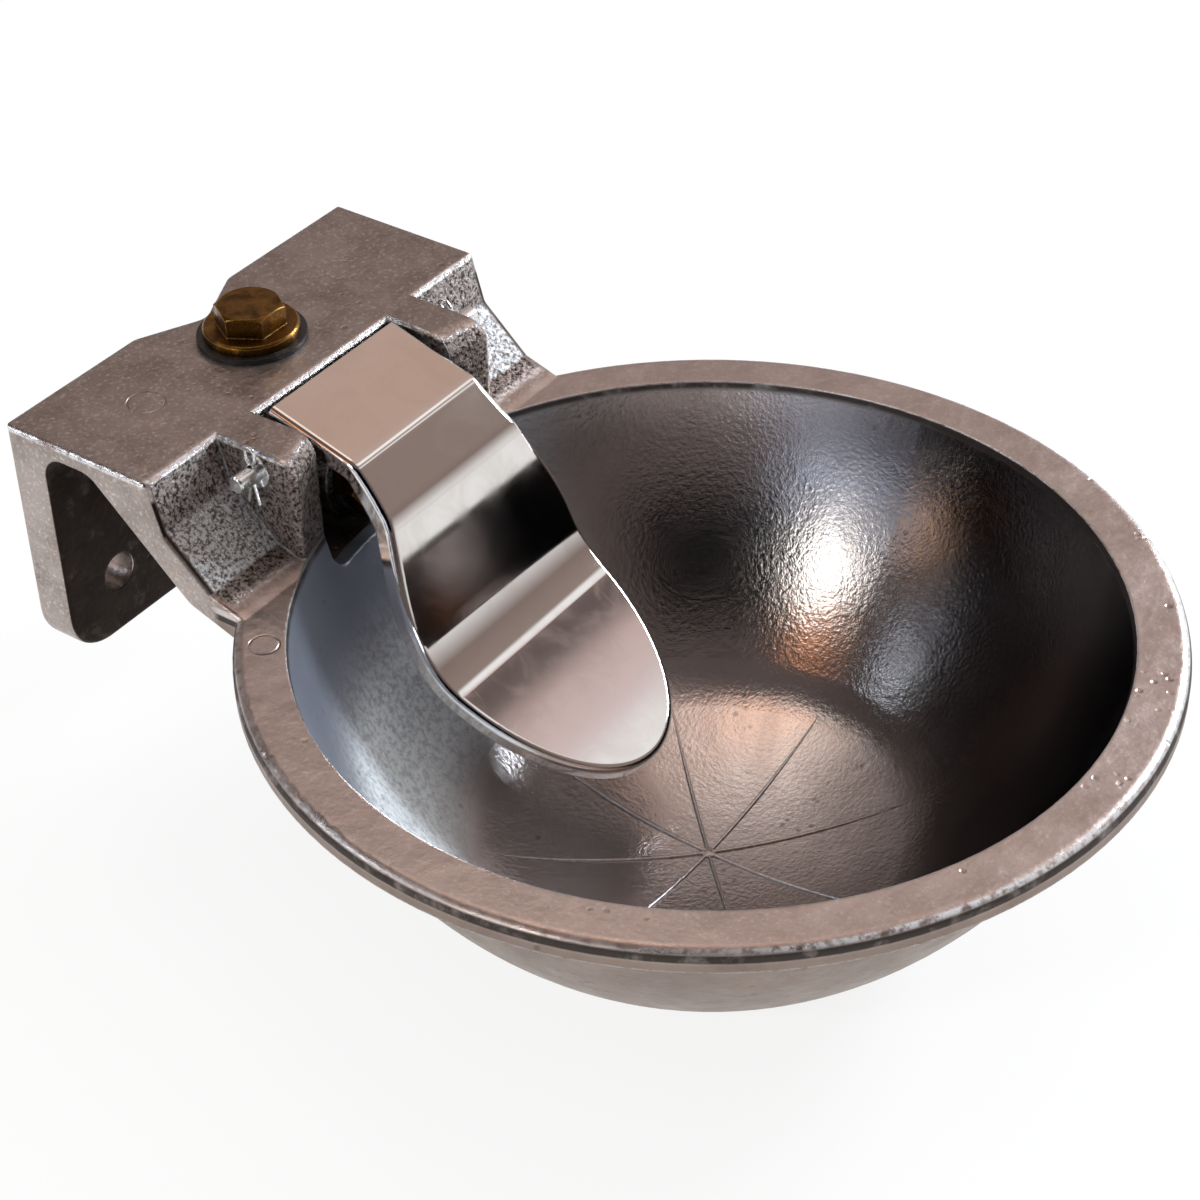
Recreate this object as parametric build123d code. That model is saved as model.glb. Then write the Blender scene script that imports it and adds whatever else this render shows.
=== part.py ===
from build123d import *
import math
import os

# A cast drinking bowl for cattle: round bowl, saddle-shaped mount behind it, and a
# hinged steel paddle that the animal's nose pushes to open a brass water valve.
#
# All sizes are in millimetres. Everything is drawn about the middle of the bowl's
# mouth: +X is to the right, +Y runs back to the wall, +Z is up and z = 0 is the rim.
# At the end it is all moved so that the origin is the middle of the four wall bolts.

# ---- bowl ----
rim_r = 120.0              # outside of the rim
mouth_r = 106.5            # inside of the rim
bowl_depth = 82.0
bowl_wall = 5.5
side_arc_r = 136.0         # the side wall's curve, seen in section
mouth_lean = 15.0          # degrees the side wall leans out at the mouth
floor_arc_r = 175.0        # the shallow curve of the bowl's floor
floor_blend_r = 35.0       # where side and floor run into each other
lip_h = 6.0                # height of the rim's outer band
lip_taper = 4.0            # height over which the band runs in to the wall
lip_round = 3.0
gate_flat_r = 9.0          # flat under the bowl where the casting gate was cut off
centre_dot_r = 2.0         # low round dot in the middle of the floor
centre_dot_h = 0.5

# ---- mount: an open-sided saddle cast in one with the bowl ----
mount_w = 136.0
mount_top = 31.0           # top of the slab above the rim
wall_y = 173.5             # the face that goes against the wall
back_plate_t = 12.0
back_plate_h = 74.0
slab_t = 5.5
slab_front_y = 125.0       # front edge of the two wings of the slab
wing_h = 14.5              # height of the wings' upright front
ramp_foot = (107.0, 3.5)   # where the ramp below the wings meets the rim's level
rim_blend_y = 96.0         # where that level runs out on the rim
front_wall_t = 11.5        # sloping wall under the ramp
saddle_corner_r = 7.0
plate_corner_r = 14.0
edge_r = 2.0
end_edge_r = 1.5           # rounding around the saddle's two open ends
groove_half_w = 19.0       # upright groove that sits on a round post
groove_depth = 9.0
groove_floor_r = 6.0
groove_lip_r = 5.0
bolt_x = 96.0              # spacing of the wall bolts across
bolt_z = 36.0              # spacing of the wall bolts up and down
bolt_hole_r = 5.5
bolt_centre_z = -6.0

# ---- ears and the pocket behind the paddle ----
slot_w = 56.0
ear_t = 13.0
ear_round = 6.0            # rounding at the top of each ear's front
ear_edge_r = 1.5           # rounding along the ears' outer edges and behind the pocket
slot_back_y = 123.5
slot_floor_z = -11.5
slot_corner_r = 6.0
pocket_wall = 6.0

# ---- water way ----
water_y = 148.0            # axis of the upright water way
water_boss_r = 17.0
water_way_r = 8.0
inlet_z = -36.0            # face of the lower water inlet
pipe_thread_r = 9.3        # core radius of a G 1/2 thread
pipe_thread_depth = 16.0

# ---- hinge ----
hinge_y = 111.5
hinge_z = 25.0
pin_r = 2.5
pin_reach = 8.5            # how far the pin stands out past each ear
pin_chamfer = 0.5
washer_r = 4.6
washer_t = 1.0
split_wire_r = 0.5
split_leg = 6.0            # length of the legs beyond the pin
split_eye_w = 3.0          # middle of the wire across the eye
split_eye_h = 5.0
split_spread = 1.2         # how far each leg's end is bent aside
split_turns = (0.0, -45.0) # tilt of the left and right split pins, back from upright

# ---- paddle: one steel pressing with a turned-down edge ----
paddle_t = 1.5
paddle_flange = 5.0
paddle_edge_r = 2.0        # outside radius of the turned-down edge
paddle_top_w = 52.0
paddle_tongue_w = 69.6
paddle_flare_top = 24.0    # heights between which it widens
paddle_flare_foot = -16.0
# side view of its upper face, from the back edge down to the tip, with bend radii
paddle_back = (119.5, 32.4)
paddle_brow = (92.0, 24.6)
paddle_cheek = (79.8, 12.4)
paddle_crease = (63.3, -25.3)
paddle_tip = (16.5, -54.8)
paddle_radii = (8.0, 14.0, 32.0)
tab_r = 6.5                # hinge tabs at the sides of the paddle
tab_t = 1.5

# ---- valve: distances along its axis run back from the face of its boss ----
valve_z = 3.5
valve_boss_r = 15.5
valve_face_y = 112.0
valve_gasket_r = 13.0
valve_gasket_t = 1.5
valve_hex = 24.0
valve_hex_h = 7.0
valve_nose_r = 9.0
valve_nose_h = 7.0
valve_web = 3.0            # front web that guides the stem
valve_shank = 26.0
valve_outlet_r = 6.0
valve_chamber_r = 7.0
outlet_hole_r = 1.5
outlet_holes = 6
seat_start = 2.0
seat_t = 4.0
seat_hole_r = 4.2
seat_lip_t = 0.8           # raised lip that the seal shuts on
seat_lip_h = 0.6
seat_ring_r = 0.8          # section radius of the O-ring around the seat
stem_r = 3.0
stem_neck_r = 2.0
stem_shoulder_t = 1.5
stem_tail = 1.0
seal_r = 5.4
seal_t = 3.0
holder_t = 1.5
holder_rim_t = 0.6
holder_rim_h = 1.5
nut_af = 7.0
nut_t = 3.2
retainer_start = 20.0
retainer_t = 3.0
retainer_hole_r = 3.9
retainer_slot_w = 1.5
retainer_slot_h = 1.0
spring_wire_r = 0.5
spring_mean_r = 5.0
spring_turns = 4
strainer_flange_r = 9.0
strainer_flange_t = 1.5
strainer_tube_h = 5.5
strainer_tube_r = 6.8
strainer_wall = 0.6
strainer_slots = 8
strainer_slot_w = 1.6
cap_r = 6.0
cap_len = 8.0
cap_dome_r = 9.0
cap_socket = 5.0

# ---- plug in the upper water inlet ----
plug_hex = 17.0
plug_hex_h = 6.0
plug_flange_r = 13.2
plug_flange_t = 2.8
plug_shank_h = 12.0
plug_gasket_r = 15.0
plug_gasket_t = 1.6

# ---- clearances ----
thread_gap = 0.1           # radial, between threads that are drawn as plain cylinders
run_gap = 0.05             # radial, between a pin or stem and its hole
seat_gap = 0.3             # between faces that meet when the valve shuts
ring_gap = 0.05            # radial, around rings that sit in a bore

# distances along the valve that follow from the sizes above
nose_start = -(valve_gasket_t + valve_hex_h + valve_nose_h)
seal_start = seat_start + seat_t + seat_lip_h + seat_gap
holder_start = seal_start + seal_t
nut_start = holder_start + holder_t
stem_end = nut_start + nut_t + stem_tail
strainer_start = retainer_start + retainer_t


def bowl_section(grow, top):
    """Half section of the round hollow up to the height top, grown outwards by grow."""
    lean = math.radians(mouth_lean)
    side_x = mouth_r - side_arc_r * math.cos(lean)
    side_z = side_arc_r * math.sin(lean)
    side_r = side_arc_r + grow
    floor_z = floor_arc_r - bowl_depth
    floor_r = floor_arc_r + grow
    top_r = side_x + math.sqrt(side_r ** 2 - (top - side_z) ** 2)
    # where the circle of the side cuts the circle of the floor
    apart_x = side_x
    apart_z = side_z - floor_z
    apart = math.hypot(apart_x, apart_z)
    along = (apart ** 2 + floor_r ** 2 - side_r ** 2) / (2 * apart)
    across = math.sqrt(floor_r ** 2 - along ** 2)
    unit = (apart_x / apart, apart_z / apart)
    meet = (along * unit[0] - across * unit[1], floor_z + along * unit[1] + across * unit[0])
    if meet[0] < 0:
        meet = (along * unit[0] + across * unit[1], floor_z + along * unit[1] - across * unit[0])

    def on_circle(centre, radius, first, last):
        a = math.atan2(first[1] - centre[1], first[0] - centre[0])
        b = math.atan2(last[1] - centre[1], last[0] - centre[0])
        mid = (a + b) / 2
        return (centre[0] + radius * math.cos(mid), centre[1] + radius * math.sin(mid))

    rim = (top_r, top)
    base = (0, -bowl_depth - grow)
    side_mid = on_circle((side_x, side_z), side_r, rim, meet)
    floor_mid = on_circle((0, floor_z), floor_r, meet, base)
    outline = Line((0, top), rim)
    outline += ThreePointArc(rim, side_mid, meet)
    outline += ThreePointArc(meet, floor_mid, base)
    outline += Line(base, (0, top))
    face = make_face(Plane.XZ * outline)
    corner = face.vertices().sort_by_distance((meet[0], 0, meet[1]))[0]
    return fillet(corner, floor_blend_r + grow)


def round_hollow(grow=0.0, top=0.0):
    """The round hollow as a solid of revolution."""
    return revolve(bowl_section(grow, top), Axis.Z, 360)


def mouth_cutter():
    """The hollow, with a plain cylinder above it that keeps the mouth open."""
    above = Cylinder(mouth_r, mount_top + edge_r, align=(Align.CENTER, Align.CENTER, Align.MIN))
    return round_hollow() + above


def bowl_outside():
    """The bowl as a full body: curved wall under a rim with a rounded band."""
    lip_foot = -lip_h - lip_taper
    wall = round_hollow(bowl_wall, lip_foot)
    foot_edge = wall.faces().sort_by(Axis.Z)[-1].edges()[0]
    foot_r = foot_edge.radius
    band = Polyline((0, 0), (rim_r, 0), (rim_r, -lip_h), (foot_r, lip_foot), (0, lip_foot), close=True)
    face = make_face(Plane.XZ * band)
    shoulder = face.vertices().sort_by_distance((rim_r, 0, 0))[0]
    face = fillet(shoulder, lip_round)
    body = wall + revolve(face, Axis.Z, 360)
    base_r = floor_arc_r + bowl_wall
    flat_h = base_r - math.sqrt(base_r ** 2 - gate_flat_r ** 2)
    below = Pos(0, 0, flat_h - bowl_depth - bowl_wall) * Cylinder(
        2 * gate_flat_r, bowl_wall, align=(Align.CENTER, Align.CENTER, Align.MAX)
    )
    return body - below


def saddle():
    """Back plate, slab and sloping front wall in one folded profile, open at both sides."""
    half = mount_w / 2
    plate_y = wall_y - back_plate_t
    plate_z = mount_top - back_plate_h
    ramp_top = (slab_front_y - 4.0, mount_top - wing_h)
    slope = math.atan2(ramp_top[1] - ramp_foot[1], ramp_top[0] - ramp_foot[0])
    drop = (front_wall_t * math.sin(slope), -front_wall_t * math.cos(slope))
    inner_foot = (ramp_foot[0] + drop[0], ramp_foot[1] + drop[1] + 2.0)
    run = (mount_top - slab_t - inner_foot[1]) / math.tan(slope)
    inner_top = (inner_foot[0] + run, mount_top - slab_t)
    under_rim = (rim_blend_y + 4.0, -lip_h - lip_taper / 2)
    outline = Polyline(
        (wall_y, mount_top),
        (wall_y, plate_z),
        (plate_y, plate_z),
        (plate_y, mount_top - slab_t),
        inner_top,
        inner_foot,
        under_rim,
        (rim_blend_y, -lip_h),
        (rim_blend_y, 0),
        ramp_foot,
        ramp_top,
        (slab_front_y, mount_top),
        close=True,
    )
    face = make_face(Plane.YZ * outline)
    for corner, radius in (
        ((plate_y, mount_top - slab_t), saddle_corner_r),
        (inner_top, saddle_corner_r),
        (inner_foot, saddle_corner_r),
        (ramp_top, edge_r),
    ):
        vertex = face.vertices().sort_by_distance((0, corner[0], corner[1]))[0]
        face = fillet(vertex, radius)
    body = extrude(face, half, both=True)
    lower_corners = body.edges().filter_by(Axis.Y).group_by(Axis.Z)[0]
    body = fillet(lower_corners, plate_corner_r)
    top_edges = body.faces().sort_by(Axis.Z)[-1].edges()
    body = fillet(top_edges.filter_by(Axis.X).sort_by(Axis.Y)[:1], edge_r)
    end_faces = [f for f in body.faces() if abs(abs(f.center().X) - half) < 0.01]
    end_edges = [e for f in end_faces for e in f.edges()]
    return fillet(end_edges, end_edge_r)


def post_groove():
    """Cutter for the upright groove in the back plate, with rounded floor and lips."""
    lip = groove_half_w + groove_lip_r
    outline = Polyline(
        (-lip, wall_y),
        (-groove_half_w, wall_y),
        (0, wall_y - groove_depth),
        (groove_half_w, wall_y),
        (lip, wall_y),
        (lip, wall_y + 2 * groove_lip_r),
        (-lip, wall_y + 2 * groove_lip_r),
        close=True,
    )
    face = make_face(outline)
    floor = face.vertices().sort_by_distance((0, wall_y - groove_depth, 0))[0]
    face = fillet(floor, groove_floor_r)
    for side in (-1, 1):
        edge = face.vertices().sort_by_distance((side * groove_half_w, wall_y, 0))[0]
        face = fillet(edge, groove_lip_r)
    tall = 2 * back_plate_h
    return Pos(0, 0, -tall / 2) * extrude(face, tall)


def ears():
    """Two ears that carry the hinge pin, with the pocket walls below them."""
    width = slot_w + 2 * ear_t
    front_y = rim_blend_y - ear_t
    block = Pos(0, front_y, 0) * Box(
        width, slab_front_y + edge_r - front_y, mount_top,
        align=(Align.CENTER, Align.MIN, Align.MIN),
    )
    shell_w = slot_w + 2 * pocket_wall
    shell_top = mount_top - slab_t
    shell_foot = slot_floor_z - pocket_wall
    shell = Pos(0, front_y, shell_foot) * Box(
        shell_w, slot_back_y + pocket_wall - front_y, shell_top - shell_foot,
        align=(Align.CENTER, Align.MIN, Align.MIN),
    )
    return block + shell


def slot_cutter():
    """The pocket behind the paddle: open to the bowl in front and at the top."""
    height = mount_top + 2 * edge_r - slot_floor_z
    pocket = Pos(0, 0, slot_floor_z) * Box(
        slot_w, slot_back_y, height, align=(Align.CENTER, Align.MIN, Align.MIN)
    )
    floor_corners = pocket.edges().filter_by(Axis.Y).group_by(Axis.Z)[0]
    pocket = fillet(floor_corners, slot_corner_r)
    bowl_side = Cylinder(
        mouth_r - bowl_wall, 4 * bowl_depth, align=(Align.CENTER, Align.CENTER, Align.CENTER)
    )
    return pocket - bowl_side


def along_valve(start):
    """Location on the valve's axis, with local Z running back towards the water way."""
    return Location(Plane((0, valve_face_y + start, valve_z), x_dir=(1, 0, 0), z_dir=(0, 1, 0)))


def rod(radius, start, end):
    """A plain cylinder along the valve's axis, between two distances from its boss."""
    shape = Cylinder(radius, end - start, align=(Align.CENTER, Align.CENTER, Align.MIN))
    return along_valve(start) * shape


def ring(outer, inner, start, end):
    return rod(outer, start, end) - rod(inner, start, end)


def upright(radius, low, high):
    """A plain cylinder on the axis of the water way."""
    shape = Cylinder(radius, high - low, align=(Align.CENTER, Align.CENTER, Align.MIN))
    return Pos(0, water_y, low) * shape


def across(radius, x_from, x_to, y=hinge_y, z=hinge_z):
    """A plain cylinder along X through the hinge."""
    shape = Cylinder(radius, x_to - x_from, align=(Align.CENTER, Align.CENTER, Align.MIN))
    return Location(Plane((x_from, y, z), x_dir=(0, 1, 0), z_dir=(1, 0, 0))) * shape


def bowl_body():
    """The casting: bowl, rim, saddle, ears, bosses and every hole in them."""
    body = bowl_outside() + saddle() + ears()
    body -= mouth_cutter()
    body -= slot_cutter()
    front_tops = [
        edge
        for edge in body.edges().filter_by(GeomType.CIRCLE)
        if abs(edge.center().Z - mount_top) < 0.01 and abs(edge.radius - mouth_r) < 0.01
    ]
    body = fillet(front_tops, ear_round)
    top_edges = [edge for edge in body.edges() if abs(edge.center().Z - mount_top) < 0.01]
    ear_side = slot_w / 2 + ear_t
    rims = [edge for edge in top_edges if abs(abs(edge.center().X) - ear_side) < 0.01]
    rims += [edge for edge in top_edges if abs(edge.center().Y - slot_back_y) < 0.01]
    body = fillet(rims, ear_edge_r)
    body += Pos(0, 0, centre_dot_h - bowl_depth) * Cylinder(
        centre_dot_r, bowl_wall / 2, align=(Align.CENTER, Align.CENTER, Align.MAX)
    )
    body += upright(water_boss_r, inlet_z, mount_top - slab_t)
    valve_boss = rod(valve_boss_r, 0, water_y - valve_face_y)
    body += valve_boss
    body -= post_groove()
    # water way, its two pipe threads and the valve's bore
    body -= upright(water_way_r, inlet_z, mount_top)
    body -= upright(pipe_thread_r, inlet_z, inlet_z + pipe_thread_depth)
    body -= upright(pipe_thread_r, mount_top - pipe_thread_depth, mount_top)
    body -= rod(pipe_thread_r, 0, water_y - valve_face_y)
    # hinge and wall bolts
    reach = slot_w / 2 + ear_t
    body -= across(pin_r + run_gap, -reach, reach)
    for side in (-1, 1):
        for level in (-1, 1):
            place = Plane(
                (side * bolt_x / 2, wall_y, bolt_centre_z + level * bolt_z / 2), z_dir=(0, -1, 0)
            )
            hole = Cylinder(
                bolt_hole_r, back_plate_t, align=(Align.CENTER, Align.CENTER, Align.MIN)
            )
            body -= Location(place) * hole
    return body


def side_line(depth, overrun):
    """Side view of the paddle at a depth below its upper face, run on past both ends."""
    corners = [paddle_back, paddle_brow, paddle_cheek, paddle_crease, paddle_tip]
    for end, neighbour in ((0, 1), (-1, -2)):
        a = Vector(*corners[end])
        b = Vector(*corners[neighbour])
        run_on = a + (a - b).normalized() * overrun
        corners[end] = (run_on.X, run_on.Y)
    moved = []
    for i, corner in enumerate(corners):
        along = []
        if i > 0:
            along.append((Vector(*corner) - Vector(*corners[i - 1])).normalized())
        if i < len(corners) - 1:
            along.append((Vector(*corners[i + 1]) - Vector(*corner)).normalized())
        normal = sum((Vector(-a.Y, a.X) for a in along), Vector(0, 0))
        point = Vector(*corner) + normal * (depth * len(along) / normal.dot(normal))
        moved.append((point.X, point.Y))
    brow_r, cheek_r, crease_r = paddle_radii
    brow_r = max(brow_r - depth, paddle_t)
    cheek_r = max(cheek_r - depth, paddle_t)
    return FilletPolyline(*moved, radius=(brow_r, cheek_r, crease_r + depth))


def paddle_band(upper, lower, overrun=0.0):
    """Wide body between two depths below the paddle's upper face."""
    over = side_line(upper, overrun)
    under = side_line(lower, overrun)
    outline = over + under + Line(over @ 0, under @ 0) + Line(over @ 1, under @ 1)
    return extrude(make_face(Plane.YZ * outline), paddle_tongue_w, both=True)


def paddle_plan(inset):
    """The paddle's outline: straight and flared sides seen from the front, oval tongue."""
    half_top = paddle_top_w / 2 - inset
    half_low = paddle_tongue_w / 2 - inset
    deep = 4 * bowl_depth
    pull = (paddle_flare_top - paddle_flare_foot) / 3
    flare = Bezier(
        (half_top, paddle_flare_top),
        (half_top, paddle_flare_top - pull),
        (half_low, paddle_flare_foot + pull),
        (half_low, paddle_flare_foot),
    )
    right = Line((half_top, mount_w), (half_top, paddle_flare_top)) + flare
    right += Line((half_low, paddle_flare_foot), (half_low, -mount_w))
    left = mirror(right, Plane.YZ)
    ends = Line((-half_top, mount_w), (half_top, mount_w))
    ends += Line((-half_low, -mount_w), (half_low, -mount_w))
    front_view = make_face(Plane.XZ * (right + left + ends))
    sides = extrude(front_view, deep, both=True)
    # the tongue is drawn on its own slope, with its oval about the crease
    crease = Vector(0, *paddle_crease)
    along = crease - Vector(0, *paddle_tip)
    slope = Plane(crease, x_dir=(1, 0, 0), z_dir=Vector(1, 0, 0).cross(along))
    tongue_h = along.length - inset
    oval = EllipticalCenterArc((0, 0), half_low, tongue_h, start_angle=180, arc_size=180)
    rest = Polyline((half_low, 0), (half_low, deep), (-half_low, deep), (-half_low, 0))
    tongue = extrude(slope * make_face(oval + rest), deep, both=True)
    return sides & tongue


def upper_rim(shape, depth):
    """Edges all round the face that lies at a depth below the paddle's upper face."""
    line = Plane.YZ * side_line(depth, paddle_t)
    bends = shape.edges().filter_by(Axis.X)
    rim = [edge for edge in shape.edges() if edge not in bends]
    middles = [edge.center(CenterOf.GEOMETRY) for edge in rim]
    return [
        edge
        for edge, middle in zip(rim, middles)
        if line.distance_to(Vertex(0, middle.Y, middle.Z)) < paddle_t / 50
    ]


def paddle():
    """Polished steel paddle: bent plate, turned-down sides and tip, two hinge tabs."""
    outside = paddle_band(0, paddle_flange) & paddle_plan(0)
    outside = fillet(upper_rim(outside, 0), paddle_edge_r)
    inside = paddle_band(paddle_t, 2 * paddle_flange, paddle_t) & paddle_plan(paddle_t)
    inside = fillet(upper_rim(inside, paddle_t), paddle_edge_r - paddle_t)
    shape = outside - inside
    tabs = Part()
    for side in (-1, 1):
        outer = side * paddle_top_w / 2
        inner = outer - side * tab_t
        tabs += across(tab_r, min(inner, outer), max(inner, outer))
    shape += tabs & paddle_band(paddle_edge_r, 4 * paddle_flange)
    return shape - across(pin_r + run_gap, -paddle_top_w, paddle_top_w)


def hinge_pin():
    """Hinge pin through both ears, chamfered, with a cross hole near each end."""
    half = slot_w / 2 + ear_t + pin_reach
    shape = across(pin_r, -half, half)
    shape = chamfer(shape.edges().filter_by(GeomType.CIRCLE), pin_chamfer)
    for side, turn in zip((-1, 1), split_turns):
        hole = Cylinder(split_hole_r(), 4 * pin_r)
        shape -= split_place(side, turn) * hole
    return shape


def split_hole_r():
    return 2 * split_wire_r + 2 * run_gap


def split_place(side, turn):
    """Where a split pin crosses the hinge pin, just outside the washer."""
    x = slot_w / 2 + ear_t + washer_t + split_hole_r()
    return Pos(side * x, hinge_y, hinge_z) * Rot(turn, 0, 0)


def pin_washer(side):
    """Flat washer on the hinge pin, against the outside of an ear."""
    ear = side * (slot_w / 2 + ear_t)
    out = ear + side * washer_t
    low, high = min(ear, out), max(ear, out)
    return across(washer_r, low, high) - across(pin_r + run_gap, low, high)


def split_pin(side, turn):
    """Split pin: one wire bent into an eye with two legs, the leg ends spread."""
    leg_y = split_wire_r + run_gap
    clear = pin_r + split_wire_r
    half_eye = split_eye_w / 2
    right = [
        (leg_y + split_spread, -clear - split_leg),
        (leg_y, -clear),
        (leg_y, clear),
        (half_eye, clear + half_eye),
        (half_eye, clear + split_eye_h),
    ]
    left = [(-y, z) for y, z in reversed(right)]
    bends = [4 * split_wire_r, 1.6 * split_wire_r, 1.6 * split_wire_r, half_eye * 0.95]
    wire = FilletPolyline(*(right + left), radius=(*bends, *reversed(bends)))
    wire = Plane.YZ * wire
    start = wire @ 0
    section = Plane(start, z_dir=wire % 0) * Circle(split_wire_r)
    return split_place(side, turn) * sweep(section, wire)


def hex_block(across_flats, height):
    """Hexagon with its upper corners chamfered at thirty degrees, standing on z = 0."""
    prism = extrude(RegularPolygon(across_flats / 2, 6, major_radius=False), height)
    crown_r = across_flats / 2
    spread = height * math.sqrt(3)
    cone = Cone(
        crown_r + spread, crown_r, height, align=(Align.CENTER, Align.CENTER, Align.MIN)
    )
    return prism & cone


def inlet_plug():
    """Brass plug: hexagon on a round flange over a threaded shank with a hollow end."""
    flange_z = mount_top + plug_gasket_t
    hex_z = flange_z + plug_flange_t
    shape = upright(plug_flange_r, flange_z, hex_z)
    shape = chamfer(shape.edges().group_by(Axis.Z)[-1], plug_flange_t / 5)
    shape += Pos(0, water_y, hex_z) * hex_block(plug_hex, plug_hex_h)
    shank_z = mount_top - plug_shank_h
    shank_r = pipe_thread_r - thread_gap
    shape += upright(shank_r, shank_z, flange_z)
    hollow_r = shank_r * 0.65
    return shape - upright(hollow_r, shank_z, mount_top)


def inlet_plug_gasket():
    """Flat rubber ring under the plug's flange."""
    top = mount_top + plug_gasket_t
    return upright(plug_gasket_r, mount_top, top) - upright(pipe_thread_r, mount_top, top)


def valve_body():
    """Brass valve body: nose with outlet holes, hexagon, threaded shank and chamber."""
    hex_start = -(valve_gasket_t + valve_hex_h)
    shape = rod(valve_nose_r, nose_start, -valve_gasket_t)
    shape = chamfer(shape.edges().group_by(Axis.Y)[0], valve_web / 4)
    hexagon = Rot(0, 180, 0) * hex_block(valve_hex, valve_hex_h)
    shape += along_valve(hex_start + valve_hex_h) * hexagon
    shape += rod(pipe_thread_r - thread_gap, -valve_gasket_t, valve_shank)
    web_end = nose_start + valve_web
    shape -= rod(stem_r + run_gap, nose_start, web_end)
    shape -= rod(valve_outlet_r, web_end, seat_start)
    shape -= rod(valve_chamber_r, seat_start, valve_shank)
    outlet = (web_end + hex_start) / 2
    for i in range(outlet_holes):
        hole = Rot(0, 90, i * 360 / outlet_holes) * Cylinder(
            outlet_hole_r, 2 * valve_nose_r, align=(Align.CENTER, Align.CENTER, Align.MIN)
        )
        shape -= along_valve(outlet) * hole
    return shape


def valve_body_gasket():
    """Flat sealing ring between the valve's hexagon and its boss."""
    return ring(valve_gasket_r, pipe_thread_r, -valve_gasket_t, 0)


def valve_seat():
    """Seat insert: a ring with an O-ring groove outside and a raised lip behind."""
    outer = valve_chamber_r - ring_gap
    shape = ring(outer, seat_hole_r, seat_start, seat_start + seat_t)
    lip_start = seat_start + seat_t
    shape += ring(seat_hole_r + seat_lip_t, seat_hole_r, lip_start, lip_start + seat_lip_h)
    groove_half = seat_ring_r + ring_gap
    groove_mid = seat_start + seat_t / 2
    groove_r = valve_chamber_r - 2 * seat_ring_r - 2 * ring_gap
    return shape - ring(outer + ring_gap, groove_r, groove_mid - groove_half, groove_mid + groove_half)


def seat_o_ring():
    """O-ring in the groove around the seat."""
    middle_r = valve_chamber_r - ring_gap - seat_ring_r
    return along_valve(seat_start + seat_t / 2) * Torus(middle_r, seat_ring_r)


def dome_centre():
    """Distance along the valve of the middle of the cap's dome, just off the paddle."""
    cheek = Vector(*paddle_cheek)
    crease = Vector(*paddle_crease)
    up = (cheek - crease).normalized()
    back = Vector(up.Y, -up.X)
    under = crease + back * paddle_t
    reach = cap_dome_r + seat_gap
    y = under.X + (reach - (valve_z - under.Y) * back.Y) / back.X
    return y - valve_face_y


def stem_cap():
    """Domed plastic cap on the front of the stem, which the paddle pushes."""
    middle = dome_centre()
    front = middle - cap_dome_r
    back = front + cap_len
    dome = along_valve(middle) * Sphere(cap_dome_r)
    shape = rod(cap_r, front, back) & dome
    return shape - rod(stem_r, back - cap_socket, back)


def valve_stem():
    """Valve stem: thick guide, thin neck through the seat, shoulder and threaded end."""
    front = dome_centre() - cap_dome_r + cap_len - cap_socket
    neck_start = seat_start - stem_shoulder_t
    shape = rod(stem_r, front, neck_start)
    shape += rod(stem_neck_r, neck_start, stem_end)
    return shape + rod(stem_r, seal_start - stem_shoulder_t, seal_start)


def seal_disc():
    """Rubber disc that shuts on the seat."""
    return ring(seal_r, stem_neck_r, seal_start, holder_start)


def seal_holder():
    """Brass cup that backs the seal disc and grips its rim."""
    shape = ring(seal_r + holder_rim_t, stem_neck_r, holder_start - holder_rim_h, nut_start)
    return shape - rod(seal_r, holder_start - holder_rim_h, holder_start)


def seal_nut():
    """Nut that clamps the seal and its holder on the stem."""
    block = along_valve(nut_start) * hex_block(nut_af, nut_t)
    return block - rod(stem_neck_r, nut_start, nut_start + nut_t)


def return_spring():
    """Coil spring between the seal holder and the retainer ring."""
    start = nut_start + spring_wire_r + ring_gap
    length = retainer_start - spring_wire_r - ring_gap - start
    helix = Helix(length / spring_turns, length, spring_mean_r)
    section = Plane(helix @ 0, z_dir=helix % 0) * Circle(spring_wire_r)
    return along_valve(start) * sweep(section, helix, is_frenet=True)


def spring_retainer():
    """Threaded ring behind the spring, with a slot across its back for a driver."""
    outer = valve_chamber_r - ring_gap
    shape = ring(outer, retainer_hole_r, retainer_start, strainer_start)
    slot = along_valve(strainer_start - retainer_slot_h / 2) * Box(
        2 * outer, retainer_slot_w, retainer_slot_h
    )
    return shape - slot


def strainer():
    """Slotted strainer cup pushed into the back of the valve body."""
    flange = valve_shank
    tube = flange + strainer_flange_t
    end = tube + strainer_tube_h
    bore = strainer_tube_r - strainer_wall
    shape = rod(valve_chamber_r - ring_gap, strainer_start, flange)
    shape += rod(strainer_flange_r, flange, tube)
    shape += rod(strainer_tube_r, tube, end)
    shape -= rod(bore, strainer_start, end - strainer_wall)
    for i in range(strainer_slots // 2):
        cut = Rot(0, 0, i * 360 / strainer_slots) * Box(
            4 * strainer_tube_r, strainer_slot_w, strainer_tube_h / 2
        )
        shape -= along_valve((tube + end) / 2) * cut
    return shape


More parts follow.
